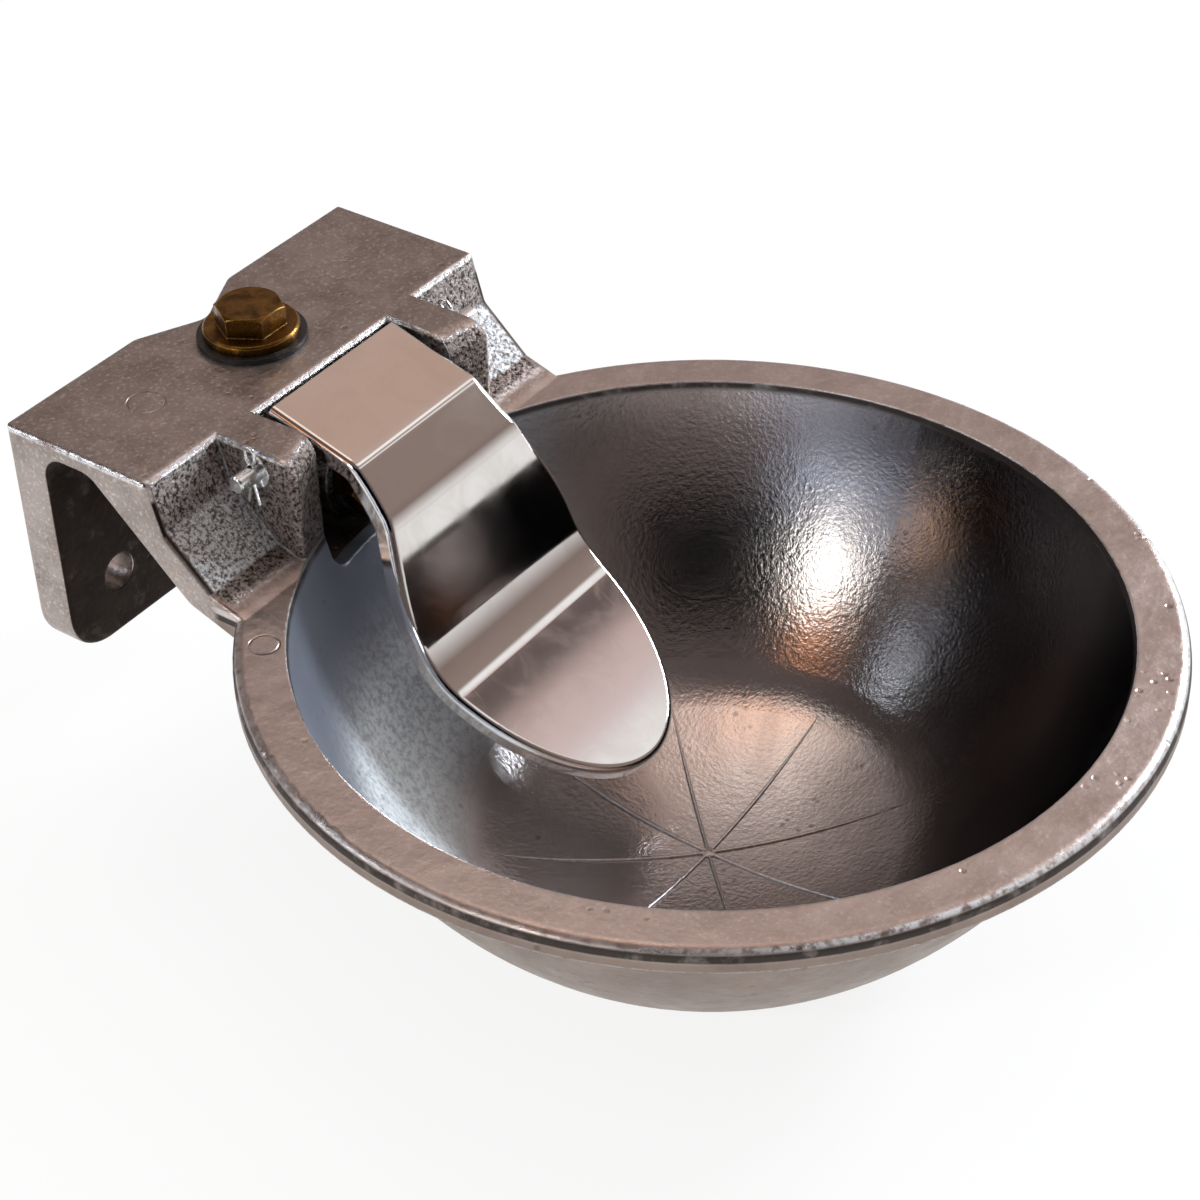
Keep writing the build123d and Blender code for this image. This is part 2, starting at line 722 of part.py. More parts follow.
def pieces():
    """Every piece of the bowl, by name."""
    left, right = -1, 1
    return {
        "bowl_body": bowl_body(),
        "paddle": paddle(),
        "hinge_pin": hinge_pin(),
        "pin_washer_left": pin_washer(left),
        "pin_washer_right": pin_washer(right),
        "split_pin_left": split_pin(left, split_turns[0]),
        "split_pin_right": split_pin(right, split_turns[1]),
        "inlet_plug": inlet_plug(),
        "inlet_plug_gasket": inlet_plug_gasket(),
        "valve_body": valve_body(),
        "valve_body_gasket": valve_body_gasket(),
        "valve_seat": valve_seat(),
        "seat_o_ring": seat_o_ring(),
        "valve_stem": valve_stem(),
        "stem_cap": stem_cap(),
        "seal_disc": seal_disc(),
        "seal_holder": seal_holder(),
        "seal_nut": seal_nut(),
        "return_spring": return_spring(),
        "spring_retainer": spring_retainer(),
        "strainer": strainer(),
    }


if __name__ == "__main__":
    os.makedirs("parts", exist_ok=True)
    to_wall_bolts = Pos(0, -wall_y, -bolt_centre_z)
    for name, shape in pieces().items():
        export_step(to_wall_bolts * shape, f"parts/{name}.step")
        print(name, shape.is_valid, round(shape.volume, 1), len(shape.solids()))
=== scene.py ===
"""Looks for the cast drinking bowl: its metals, rubber, cast skin, floor star and studio."""
import math

import bpy
from bpy.props import FloatProperty, FloatVectorProperty, IntProperty, PointerProperty
from bpy.types import Operator, Panel, PropertyGroup
from mathutils import Matrix, Vector


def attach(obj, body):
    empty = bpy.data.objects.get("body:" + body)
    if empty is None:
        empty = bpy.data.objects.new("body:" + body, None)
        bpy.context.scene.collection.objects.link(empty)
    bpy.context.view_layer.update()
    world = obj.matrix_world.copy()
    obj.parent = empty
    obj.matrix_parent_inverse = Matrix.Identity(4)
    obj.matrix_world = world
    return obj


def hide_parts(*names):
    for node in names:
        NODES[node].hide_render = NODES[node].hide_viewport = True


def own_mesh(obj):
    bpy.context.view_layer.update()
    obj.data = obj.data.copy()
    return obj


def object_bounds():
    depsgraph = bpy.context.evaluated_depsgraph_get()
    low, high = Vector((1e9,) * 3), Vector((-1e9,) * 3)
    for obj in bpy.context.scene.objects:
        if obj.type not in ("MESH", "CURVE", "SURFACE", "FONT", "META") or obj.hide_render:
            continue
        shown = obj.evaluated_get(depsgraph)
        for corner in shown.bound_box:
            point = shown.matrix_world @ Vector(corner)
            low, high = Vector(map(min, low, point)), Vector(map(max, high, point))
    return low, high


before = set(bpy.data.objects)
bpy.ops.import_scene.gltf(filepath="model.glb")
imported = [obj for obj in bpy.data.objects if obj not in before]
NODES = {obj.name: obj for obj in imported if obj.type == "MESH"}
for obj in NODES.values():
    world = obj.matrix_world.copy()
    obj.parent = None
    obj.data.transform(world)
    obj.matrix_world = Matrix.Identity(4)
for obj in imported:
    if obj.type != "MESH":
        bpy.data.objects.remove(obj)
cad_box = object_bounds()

bl_info = {
    "name": "Cattle drinking bowl",
    "version": (1, 0, 0),
    "blender": (4, 5, 0),
    "location": "View3D > Sidebar > Drinking bowl",
    "description": "Finishes a cast drinking bowl with a steel paddle and a brass valve",
    "category": "Object",
}

# Places in the frame, in metres: the origin is the middle of the wall bolts.
BOWL_Y = -0.1735           # the bowl's upright axis
RIM_Z = 0.006              # top of the rim
MOUTH_R = 0.1065
FLOOR_DEPTH = 0.082
FLOOR_ARC_R = 0.175
SIDE_ARC_R = 0.136
SIDE_ARC_X = -0.0249       # middle of the side wall's curve
SIDE_ARC_Z = 0.0352
LIP_LINE_Z = 0.0038        # painted shade line just under the rim's rounding
LIP_FOOT_Z = -0.004        # where the rim's band has run in to the wall
SLAB_TOP_Z = 0.037
SLAB_UNDER_Z = 0.0315
SLAB_FRONT_Y = -0.0485
RAMP_FOOT_Y = -0.0665
RAMP_LIT_Z = 0.0225     # below this height the pockets' ramps are painted as lit, above it as in shade
SADDLE_HALF_W = 0.068
PAINTED_LIGHT_ACROSS = (0.60, -0.80)   # level direction from the bowl's side with a painted sheen and cool reflection to its side with a painted dark reflection
# Round marks left in the cast skin: middle and radius.
RING_MARKS = (
    ((-0.040, -0.0235, SLAB_TOP_Z), 0.0050),
    ((0.040, -0.0235, SLAB_TOP_Z), 0.0050),
    ((-0.072, -0.0880, RIM_Z), 0.0038),
)
STEEL_DULL = (0.90, 0.88, 0.87)      # tint of the steel's duller patches
STEEL_RUBBED = (0.90, 0.90, 0.90)    # colour of its rubbed edges

# The floor star's rays, as shares of a ray's own reach, width and height.
RAY_STEPS = 14             # pieces that a ray is cut into, to follow the floor's curve
RAY_TAPER_FROM = 0.45      # where along its reach a ray starts to taper
RAY_TAPER = 0.75           # what its width and height lose by the tip
RAY_TOP = 0.55             # width of its upper face
RAY_FOOT = 1.25            # width of its foot
RAY_SINK = 1.2             # how deep the foot stands in the casting

# The camera, in metres and degrees: it looks at the target from in front, left and above.
CAMERA_TARGET = (-0.01056, BOWL_Y + 0.02623, RIM_Z)
CAMERA_DISTANCE = 0.7023
CAMERA_AZIMUTH = -53.70
CAMERA_ELEVATION = 37.77
CAMERA_ROLL = -1.59

# The studio. Azimuths run from +X towards +Y and elevations up from level, in degrees.
# Lamps: name, azimuth, elevation, distance, size, share of the power, tint.
LAMPS = (
    ("key_lamp", 170, 32, 1.05, (0.13, 0.11), 0.8, (1.0, 0.98, 0.95)),
    ("fill_lamp", -18, 28, 1.10, (0.44, 0.26), 4.2, (0.84, 0.92, 1.0)),
    ("top_lamp", 60, 66, 1.15, (0.60, 0.50), 0.30, (1.0, 0.92, 0.84)),
)
LAMP_TARGET = (0.0, BOWL_Y, -0.03)
FLOOR_WIDTH = 60.0
FLOOR_GAP = 0.0002         # between the lowest point and the floor
FLOOR_GLOW = 1.04          # strength of the white that the floor shows
FLOOR_GLOW_SHARE = 0.80    # its share, where the floor is seen or mirrored; the rest is lit
WHITE = (1.0, 1.0, 1.0)
SOFT_LIGHT = (1.0, 0.99, 0.98)
DARK_SIDE = (0.125, 0.100, 0.094)
HORIZON = (0.80, 0.79, 0.78)
# Ceiling bands: lean forward from overhead, colour. The first two are the ends of the ramp.
CEILING = (
    (-90.0, (0.30, 0.25, 0.23)),
    (90.0, (0.10, 0.085, 0.08)),
    (-50.0, (0.34, 0.28, 0.26)),
    (-38.0, (0.46, 0.38, 0.35)),
    (-24.0, (0.52, 0.44, 0.41)),
    (-14.0, (0.56, 0.40, 0.33)),
    (-6.0, (0.56, 0.41, 0.355)),
    (12.5, (0.60, 0.45, 0.39)),
    (14.8, (1.1, 1.1, 1.1)),
    (21.0, (1.1, 1.1, 1.1)),
    (23.5, (0.55, 0.40, 0.35)),
    (26.0, (0.60, 0.44, 0.40)),
    (26.8, (0.04, 0.035, 0.035)),
    (27.3, (0.04, 0.035, 0.035)),
    (28.0, (0.66, 0.50, 0.47)),
    (29.6, (0.76, 0.62, 0.62)),
    (30.3, (1.0, 1.0, 1.0)),
    (33.0, (1.0, 1.0, 1.0)),
    (36.0, (0.32, 0.25, 0.22)),
    (60.0, (0.26, 0.20, 0.18)),
)
# Cards: name, azimuth, elevation, half width, half height, soft edge, colour.
CARDS = (
    ("dark corner", -149, 35, 26, 12, 6, (0.0, 0.0, 0.0)),
    ("low window", 170, 15, 17, 4, 5, (0.80, 0.90, 1.10)),
    ("high window", 171, 31, 5, 5, 4, (7.5, 7.5, 7.2)),
    ("warm lamp", 165, 44, 5, 3, 4, (1.5, 0.56, 0.16)),
    ("small warm lamp", 147, 14, 3, 3, 3, (4.0, 2.6, 1.7)),
    ("warm beam", 64, 72, 20, 2, 3, (2.0, 0.85, 0.34)),
    ("narrow window", 130, 28, 3, 8, 3, (5.0, 5.6, 6.2)),
)


# ---------------------------------------------------------------- settings

def length(name, default, description):
    """A setting in metres."""
    return FloatProperty(
        name=name, description=description, default=default, min=0.0,
        unit="LENGTH", subtype="DISTANCE", precision=5,
    )


def colour(name, default, description):
    """A colour setting, in linear red, green and blue."""
    return FloatVectorProperty(
        name=name, description=description, default=default,
        size=3, min=0.0, max=1.0, subtype="COLOR",
    )


class BowlSizes(PropertyGroup):
    """Sizes of what is added to the solids and of the grain on them."""

    star_rays: IntProperty(name="Star rays", description="Rays on the bowl's floor", default=8)
    star_reach: length("Star reach", 0.059, "How far the rays run out from the middle")
    star_width: length("Ray width", 0.0013, "Width of a ray at the floor")
    star_height: length("Ray height", 0.0006, "How far a ray stands up from the floor")
    edge_round: length("Edge rounding", 0.0010, "Width of the worn, bright edges of the casting")
    cast_bump: length("Cast bump", 0.00010, "Depth of the fine cast skin")
    peel_depth: length("Broad bump", 0.00035, "Depth of the broad unevenness of the cast skin")
    rough_bump: length("Rough bump", 0.0009, "Depth of the coarse cast skin in the pockets")
    pit_depth: length("Pit depth", 0.0004, "Depth of casting pits")
    mark_depth: length("Mark depth", 0.00030, "Depth of the round marks in the cast skin")
    bowl_grain: length("Bowl grain", 0.000132, "Depth of the fine grain inside the bowl")
    bowl_waves: length("Bowl waves", 0.000165, "Depth of the broad waves inside the bowl")
    scratch_depth: length("Scratch depth", 0.000002, "Depth of fine scratches on the paddle")


class BowlColours(PropertyGroup):
    """Colours of the metals, rubber, plastic and floor."""

    cast_skin: colour("Cast skin", (0.43, 0.365, 0.335), "Warm oxide on the tumbled faces")
    cast_dark: colour("Dark skin", (0.20, 0.155, 0.135), "Darker patches of the oxide")
    # also the painted highlight on the rim's outer rounding
    cast_bare_and_highlight: colour("Bright casting", (0.86, 0.88, 0.92), "Bare metal on worn edges")
    cast_rim: colour("Rim skin", (0.66, 0.56, 0.525), "Thinner oxide on the rim")
    # painted lit grains at the foot of the pockets' ramps
    cast_lit_grain: colour("Rough casting", (0.92, 0.96, 1.0), "Cool rough metal in the pockets")
    cast_outer: colour("Outer skin", (0.30, 0.235, 0.20), "Dull skin of the bowl's outside")
    # dirt in pits and marks; also the painted shade in corners, in the lines at the mouth and under
    # the lip, in the saddle's hollow and on the pockets' shaded grains
    cast_dirt_and_shade: colour("Dirt", (0.022, 0.014, 0.010), "Dirt in pits and corners")
    bowl_metal: colour("Inside metal", (0.60, 0.565, 0.56), "Smoother metal inside the bowl")
    bowl_stain: colour("Inside stain", (0.40, 0.355, 0.34), "Water stain inside the bowl")
    # painted cool reflection on one side of the bowl's inside
    bowl_cool_reflection: colour("Inside cool", (0.27, 0.305, 0.39), "Cool film on the bowl's rubbed side")
    # painted sheen: a bright band on that side's wall
    bowl_sheen: colour("Inside clean", (0.94, 0.98, 1.0), "Bare metal on the bowl's rubbed side")
    # painted dark reflection on the bowl's other side
    bowl_dark_reflection: colour("Inside dark", (0.030, 0.024, 0.026), "Dark film on the bowl's other side")
    steel: colour("Stainless steel", (0.80, 0.775, 0.755), "Polished sheet of the paddle")
    plated: colour("Plated steel", (0.86, 0.87, 0.87), "Hinge pin, washers and split pins")
    brass: colour("Brass", (0.27, 0.135, 0.026), "Clean brass")
    brass_dull: colour("Dull brass", (0.075, 0.032, 0.007), "Tarnish on the brass")
    # painted shade in the brass parts' corners, and dirt in their pits
    brass_shade_and_dirt: colour("Brass dirt", (0.012, 0.006, 0.002), "Dirt in the brass parts' corners")
    brass_bright: colour("Bright brass", (0.50, 0.31, 0.10), "Rubbed edges of the brass")
    rubber: colour("Rubber", (0.010, 0.009, 0.009), "Black sealing rings")
    dust: colour("Dust", (0.20, 0.17, 0.145), "Dust on rubber")
    plastic: colour("Plastic", (0.62, 0.60, 0.55), "Cap on the valve stem")
    plastic_stain: colour("Plastic stain", (0.42, 0.36, 0.27), "Stain on the stem's cap")
    floor: colour("Floor", (0.90, 0.90, 0.90), "Floor and backdrop")


class BowlStudio(PropertyGroup):
    """Camera and lamps."""

    lens: FloatProperty(
        name="Lens", description="Focal length", default=82.96, min=1.0, unit="CAMERA",
    )
    key_power: FloatProperty(
        name="Key lamp", description="Power of the key lamp", default=2.6, unit="POWER",
    )
    fill_power: FloatProperty(
        name="Fill lamps", description="Power of the fill and top lamps", default=2.2, unit="POWER",
    )
    world_level: FloatProperty(name="World", description="Strength of the soft light", default=0.68)


# ---------------------------------------------------------------- shader helpers

class Shader:
    """A short way to place and join nodes in one material or group."""

    def __init__(self, tree):
        self.tree = tree
        self.count = 0

    def node(self, kind, inputs=None, **settings):
        """A node with some properties set and some sockets filled or linked."""
        new = self.tree.nodes.new(kind)
        new.location = (220 * (self.count % 12), -260 * (self.count // 12))
        self.count += 1
        for name, value in settings.items():
            setattr(new, name, value)
        for key, value in (inputs or {}).items():
            self.put(new, key, value)
        return new

    def put(self, node, key, value):
        """Links a socket, or sets its value."""
        socket = node.inputs[key]
        if isinstance(value, bpy.types.NodeSocket):
            self.tree.links.new(value, socket)
        elif socket.type == "RGBA" and len(value) == 3:
            socket.default_value = (*value, 1.0)
        else:
            socket.default_value = value

    def math(self, operation, a, b=0.0, c=0.0, clamp=False):
        """One step of arithmetic."""
        return self.node(
            "ShaderNodeMath", {0: a, 1: b, 2: c}, operation=operation, use_clamp=clamp
        ).outputs[0]

    def mix(self, factor, a, b, blend="MIX"):
        """Mixes two colours."""
        node = self.node("ShaderNodeMix", data_type="RGBA", blend_type=blend)
        self.put(node, 0, factor)
        self.put(node, 6, a)
        self.put(node, 7, b)
        return node.outputs[2]

    def product(self, *masks):
        """Multiplies masks together."""
        result = masks[0]
        for mask in masks[1:]:
            result = self.math("MULTIPLY", result, mask)
        return result

    def blend(self, factor, a, b):
        """Mixes two plain values."""
        node = self.node("ShaderNodeMix", data_type="FLOAT")
        self.put(node, 0, factor)
        self.put(node, 2, a)
        self.put(node, 3, b)
        return node.outputs[0]

    def ramp(self, value, low, high, to_low=0.0, to_high=1.0, smooth=True):
        """Maps a range of a value to another, and holds it at the ends."""
        return self.node(
            "ShaderNodeMapRange",
            {"Value": value, "From Min": low, "From Max": high,
             "To Min": to_low, "To Max": to_high},
            interpolation_type="SMOOTHSTEP" if smooth else "LINEAR",
            clamp=True,
        ).outputs["Result"]

    def noise(self, vector, scale, detail=3.0, roughness=0.55, distortion=0.0):
        """Plain noise, about 0.5 in the middle."""
        return self.node(
            "ShaderNodeTexNoise",
            {"Vector": vector, "Scale": scale, "Detail": detail, "Roughness": roughness,
             "Distortion": distortion},
        ).outputs["Fac"]

    def group(self, name, inputs):
        """Places a node group with its own values."""
        node = self.node("ShaderNodeGroup", node_tree=bpy.data.node_groups[name])
        for key, value in inputs.items():
            self.put(node, key, value)
        return node


VALUE = "NodeSocketFloat"
VECTOR = "NodeSocketVector"


def new_group(name, inputs, outputs):
    """A node group's Shader, inputs and outputs. An input with no value of its own is a vector."""
    tree = bpy.data.node_groups.new(name, "ShaderNodeTree")
    for label, value in inputs.items():
        kind = VECTOR if value is None else VALUE
        socket = tree.interface.new_socket(label, in_out="INPUT", socket_type=kind)
        if value is not None:
            socket.default_value = value
    for label, kind in outputs.items():
        tree.interface.new_socket(label, in_out="OUTPUT", socket_type=kind)
    shader = Shader(tree)
    source = shader.node("NodeGroupInput").outputs
    sink = shader.node("NodeGroupOutput")
    return shader, source, sink


def make_edge_wear():
    """Group: 1 along edges that handling has rubbed bright, broken up by noise."""
    shader, source, sink = new_group(
        "EdgeWear",
        {"Vector": None, "Width": 0.001, "Break-up": 500.0},
        {"Mask": VALUE, "Normal": VECTOR},
    )
    bevel = shader.node("ShaderNodeBevel", {"Radius": source["Width"]}, samples=6)
    geometry = shader.node("ShaderNodeNewGeometry")
    facing = shader.node(
        "ShaderNodeVectorMath", {0: bevel.outputs[0], 1: geometry.outputs["Normal"]},
        operation="DOT_PRODUCT",
    ).outputs["Value"]
    edge = shader.ramp(facing, 0.995, 0.86)
    grain = shader.noise(source["Vector"], source["Break-up"], 4.0, 0.65)
    mask = shader.math("MULTIPLY", edge, shader.ramp(grain, 0.30, 0.58))
    shader.put(sink, "Mask", mask)
    shader.put(sink, "Normal", bevel.outputs[0])


def make_cast_grain():
    """Group: height and tone of a cast skin, with small bumps and a few pits."""
    shader, source, sink = new_group(
        "CastGrain",
        {"Vector": None, "Scale": 500.0, "Pits": 0.0},
        {"Height": VALUE, "Tone": VALUE, "Pit": VALUE},
    )
    fine = shader.noise(source["Vector"], source["Scale"], 5.0, 0.62, 0.2)
    broad_scale = shader.math("MULTIPLY", source["Scale"], 0.17)
    broad = shader.noise(source["Vector"], broad_scale, 3.0, 0.55)
    pit_scale = shader.math("MULTIPLY", source["Scale"], 0.42)
    cells = shader.node(
        "ShaderNodeTexVoronoi",
        {"Vector": source["Vector"], "Scale": pit_scale, "Randomness": 1.0},
        feature="F1",
    ).outputs["Distance"]
    chosen_scale = shader.math("MULTIPLY", source["Scale"], 0.09)
    chosen = shader.ramp(shader.noise(source["Vector"], chosen_scale, 2.0), 0.56, 0.66)
    dot = shader.ramp(cells, 0.30, 0.12)
    pit = shader.math("MULTIPLY", shader.math("MULTIPLY", dot, chosen), source["Pits"])
    height = shader.math("SUBTRACT", shader.math("MULTIPLY_ADD", broad, 0.6, fine), pit)
    tone = shader.math("MULTIPLY_ADD", broad, 0.65, shader.math("MULTIPLY", fine, 0.35))
    shader.put(sink, "Height", height)
    shader.put(sink, "Tone", tone)
    shader.put(sink, "Pit", pit)


def make_smears():
    """Group: soft uneven patches and fine scratches, for the gloss of turned or polished metal."""
    shader, source, sink = new_group(
        "Smears",
        {"Vector": None, "Scale": 60.0, "Scratch Scale": 900.0},
        {"Patches": VALUE, "Scratches": VALUE},
    )
    patches = shader.noise(source["Vector"], source["Scale"], 4.0, 0.6, 0.8)
    stretched = shader.node(
        "ShaderNodeMapping", {"Vector": source["Vector"], "Scale": (1.0, 0.045, 0.045)}
    ).outputs[0]
    scratches = shader.noise(stretched, source["Scratch Scale"], 2.0, 0.7)
    shader.put(sink, "Patches", patches)
    shader.put(sink, "Scratches", scratches)


def make_corner_shade():
    """Group: 1 in inner corners, from occlusion, for painted shade there, broken up by noise."""
    shader, source, sink = new_group(
        "CornerShade",
        {"Vector": None, "Reach": 0.006, "Break-up": 260.0},
        {"Mask": VALUE},
    )
    open_share = shader.node(
        "ShaderNodeAmbientOcclusion", {"Distance": source["Reach"]}, samples=6
    ).outputs["AO"]
    corner = shader.ramp(open_share, 0.80, 0.30)
    grain = shader.noise(source["Vector"], source["Break-up"], 4.0, 0.6)
    broken = shader.ramp(grain, 0.25, 0.60, 0.45, 1.0)
    shader.put(sink, "Mask", shader.math("MULTIPLY", corner, broken))


def make_ring_mark():
    """Group: 1 along a thin circle on the surface, about a middle given in the frame."""
    shader, source, sink = new_group(
        "RingMark",
        {"Vector": None, "Middle": None, "Radius": 0.005, "Width": 0.0005},
        {"Mask": VALUE},
    )
    away = shader.node(
        "ShaderNodeVectorMath", {0: source["Vector"], 1: source["Middle"]}, operation="DISTANCE"
    ).outputs["Value"]
    off = shader.math("SUBTRACT", away, source["Radius"])
    line = shader.ramp(shader.math("ABSOLUTE", off), source["Width"], 0.0)
    worn = shader.ramp(shader.noise(source["Vector"], 130.0, 3.0), 0.42, 0.60, 0.08, 1.0)
    shader.put(sink, "Mask", shader.math("MULTIPLY", line, worn))


def new_material(name):
    """An empty material with its Shader and Object coordinates."""
    material = bpy.data.materials.new(name)
    material.use_nodes = True
    material.node_tree.nodes.clear()
    shader = Shader(material.node_tree)
    coords = shader.node("ShaderNodeTexCoord").outputs["Object"]
    return material, shader, coords


def finish_material(shader, sockets, relief, normal=None):
    """Adds the Principled BSDF, with a relief whose height is in metres."""
    surface = shader.node("ShaderNodeBsdfPrincipled")
    for key, value in sockets.items():
        shader.put(surface, key, value)
    bump = shader.node("ShaderNodeBump", {"Height": relief, "Distance": 1.0, "Strength": 1.0})
    if normal is not None:
        shader.put(bump, "Normal", normal)
    shader.put(surface, "Normal", bump.outputs[0])
    shader.node("ShaderNodeOutputMaterial", {"Surface": surface.outputs[0]})


def give(obj, material):
    """Puts one material on an object, in place of what it had."""
    obj.data.materials.clear()
    obj.data.materials.append(material)


# ---------------------------------------------------------------- materials

def painted_light_side(shader, coords, place, from_axis):
    """How far a point lies from the bowl's side with a painted sheen towards its side with a
    painted dark reflection, with a wander.
    """
    across = shader.math(
        "ADD",
        shader.math("MULTIPLY", place["X"], PAINTED_LIGHT_ACROSS[0]),
        shader.math("MULTIPLY", from_axis, PAINTED_LIGHT_ACROSS[1]),
    )
    wander = shader.math("MULTIPLY_ADD", shader.noise(coords, 28.0, 4.0, 0.6), 0.030, -0.015)
    return shader.math("ADD", across, wander)


def inside_zones(shader, place, facing, radius, across):
    """Inside the bowl: all of it, a painted shade line at its mouth, a painted cool reflection and
    sheen on one side, and a painted dark reflection on the other.
    """
    inside = shader.product(
        shader.ramp(radius, MOUTH_R + 0.0004, MOUTH_R - 0.0002),
        shader.ramp(place["Z"], RIM_Z + 0.0001, RIM_Z - 0.0006),
        shader.ramp(facing["Z"], -0.02, 0.05),
    )
    # painted shade: a dark line just inside the mouth
    mouth_shade = shader.ramp(place["Z"], RIM_Z - 0.0030, RIM_Z - 0.0012)
    # the side that gets a painted cool reflection near the mouth and a painted sheen band lower
    # down
    sheen_side = shader.product(inside, shader.ramp(across, -0.026, -0.062))
    ring = (shader.ramp(radius, 0.058, 0.076), shader.ramp(radius, 0.100, 0.087))
    return {
        "inside": inside,
        "mouth_shade": shader.product(inside, mouth_shade),
        # painted cool reflection: a bluish band on the wall near the mouth
        "cool_reflection": shader.product(sheen_side, shader.ramp(radius, 0.060, 0.086, 0.0, 0.9)),
        # painted sheen: a bright band partway down the wall
        "sheen": shader.product(sheen_side, *ring),
        # painted dark reflection over the other side
        "dark_reflection": shader.product(inside, shader.ramp(across, 0.016, 0.082)),
    }


def mount_zones(shader, place, facing, inside):
    """On the mount: the rough pockets, the foot of their ramps painted as lit, and the saddle's
    hollow painted in shade.
    """
    off_middle = shader.math("ABSOLUTE", place["X"])
    rough = shader.product(
        shader.ramp(place["Z"], RIM_Z + 0.0012, RIM_Z + 0.0024),
        shader.ramp(place["Z"], SLAB_TOP_Z - 0.0003, SLAB_TOP_Z - 0.0016),
        shader.ramp(place["Y"], SLAB_FRONT_Y + 0.0012, SLAB_FRONT_Y - 0.0006),
        shader.ramp(off_middle, SADDLE_HALF_W - 0.0012, SADDLE_HALF_W - 0.0024),
    )
    # painted light: the up-facing foot of the ramps lit, the rest of the pockets in shade
    lit_ramp = shader.product(
        rough,
        shader.ramp(place["Y"], RAMP_FOOT_Y - 0.0006, RAMP_FOOT_Y + 0.0006),
        shader.ramp(facing["Z"], 0.15, 0.35),
        shader.ramp(place["Z"], RAMP_LIT_Z + 0.0012, RAMP_LIT_Z - 0.0012, 0.22, 1.0),
    )
    # painted shade in the saddle's hollow: faces turned down or to the front, under the slab
    turned_down = shader.ramp(facing["Z"], -0.02, -0.20)
    turned_front = shader.ramp(facing["Y"], -0.45, -0.70)
    hollow = shader.product(
        shader.math("MAXIMUM", turned_down, turned_front),
        shader.ramp(shader.math("ABSOLUTE", facing["X"]), 0.75, 0.55),
        shader.ramp(place["Y"], RAMP_FOOT_Y - 0.012, RAMP_FOOT_Y),
        shader.ramp(place["Z"], SLAB_UNDER_Z + 0.0008, SLAB_UNDER_Z - 0.0006),
        shader.math("SUBTRACT", 1.0, rough),
        shader.math("SUBTRACT", 1.0, inside),
    )
    return {"rough": rough, "lit_ramp": lit_ramp, "hollow": hollow}


def outer_zones(shader, place, radius, round_bowl):
    """Round the outside: the wall, the painted shade line under the lip with a fainter one at its
    foot, and the rim's top.
    """
    from_line = shader.math("ABSOLUTE", shader.math("SUBTRACT", place["Z"], LIP_LINE_Z))
    from_foot = shader.math("ABSOLUTE", shader.math("SUBTRACT", place["Z"], LIP_FOOT_Z))
    # painted shade: a dark line under the rim's rounding, and a fainter one where the band meets
    # the wall
    lip_shade = shader.math(
        "MAXIMUM",
        shader.ramp(from_line, 0.0013, 0.0007),
        shader.ramp(from_foot, 0.0035, 0.0005, 0.0, 0.40),
    )
    wall = shader.ramp(place["Z"], LIP_LINE_Z, LIP_LINE_Z - 0.0020)
    rim_top = shader.product(
        round_bowl,
        shader.ramp(radius, MOUTH_R - 0.0004, MOUTH_R + 0.0004),
        shader.ramp(place["Z"], RIM_Z + 0.0010, RIM_Z + 0.0004),
        shader.ramp(place["Z"], RIM_Z - 0.0040, RIM_Z - 0.0020),
    )
    return {
        "outer": shader.product(round_bowl, wall),
        "lip_shade": shader.product(round_bowl, lip_shade),
        "rim_top": rim_top,
    }


def edge_zones(shader, place, facing, across, round_bowl):
    """Rounded corners: the slab's upper edges, which wear bright, and the rim's outer one, with a
    painted highlight that is stronger on one side.
    """
    corner_round = shader.ramp(facing["Z"], 0.97, 0.86)
    near_top = shader.ramp(place["Z"], SLAB_TOP_Z - 0.0018, SLAB_TOP_Z - 0.0011)
    # painted highlight along the rim's outer rounding, stronger on one side of the bowl
    rim_highlight = shader.product(
        corner_round,
        round_bowl,
        shader.ramp(place["Z"], LIP_LINE_Z + 0.0006, LIP_LINE_Z + 0.0014),
        shader.ramp(place["Z"], RIM_Z + 0.0010, RIM_Z + 0.0004),
        shader.ramp(across, -0.040, 0.050, 0.30, 1.0),
    )
    # worn bright edges of the slab, joined with the painted rim highlight
    edges = shader.math("MAXIMUM", shader.product(corner_round, near_top), rim_highlight)
    return {"edges": edges, "rim_highlight": rim_highlight}


def casting_zones(shader, coords):
    """Masks by place on the casting, from its Object coordinates and the way the surface faces."""
    place = shader.node("ShaderNodeSeparateXYZ", {0: coords}).outputs
    normal = shader.node("ShaderNodeNewGeometry").outputs["Normal"]
    facing = shader.node("ShaderNodeSeparateXYZ", {0: normal}).outputs
    from_axis = shader.math("SUBTRACT", place["Y"], BOWL_Y)
    squares = [shader.math("POWER", side, 2.0) for side in (place["X"], from_axis)]
    radius = shader.math("SQRT", shader.math("ADD", *squares))
    across = painted_light_side(shader, coords, place, from_axis)
    zone = inside_zones(shader, place, facing, radius, across)
    zone.update(mount_zones(shader, place, facing, zone["inside"]))
    not_inside = shader.math("SUBTRACT", 1.0, zone["inside"])
    before_mount = shader.ramp(place["Y"], RAMP_FOOT_Y, RAMP_FOOT_Y - 0.003)
    round_bowl = shader.product(not_inside, before_mount)
    zone.update(outer_zones(shader, place, radius, round_bowl))
    zone.update(edge_zones(shader, place, facing, across, round_bowl))
    return zone


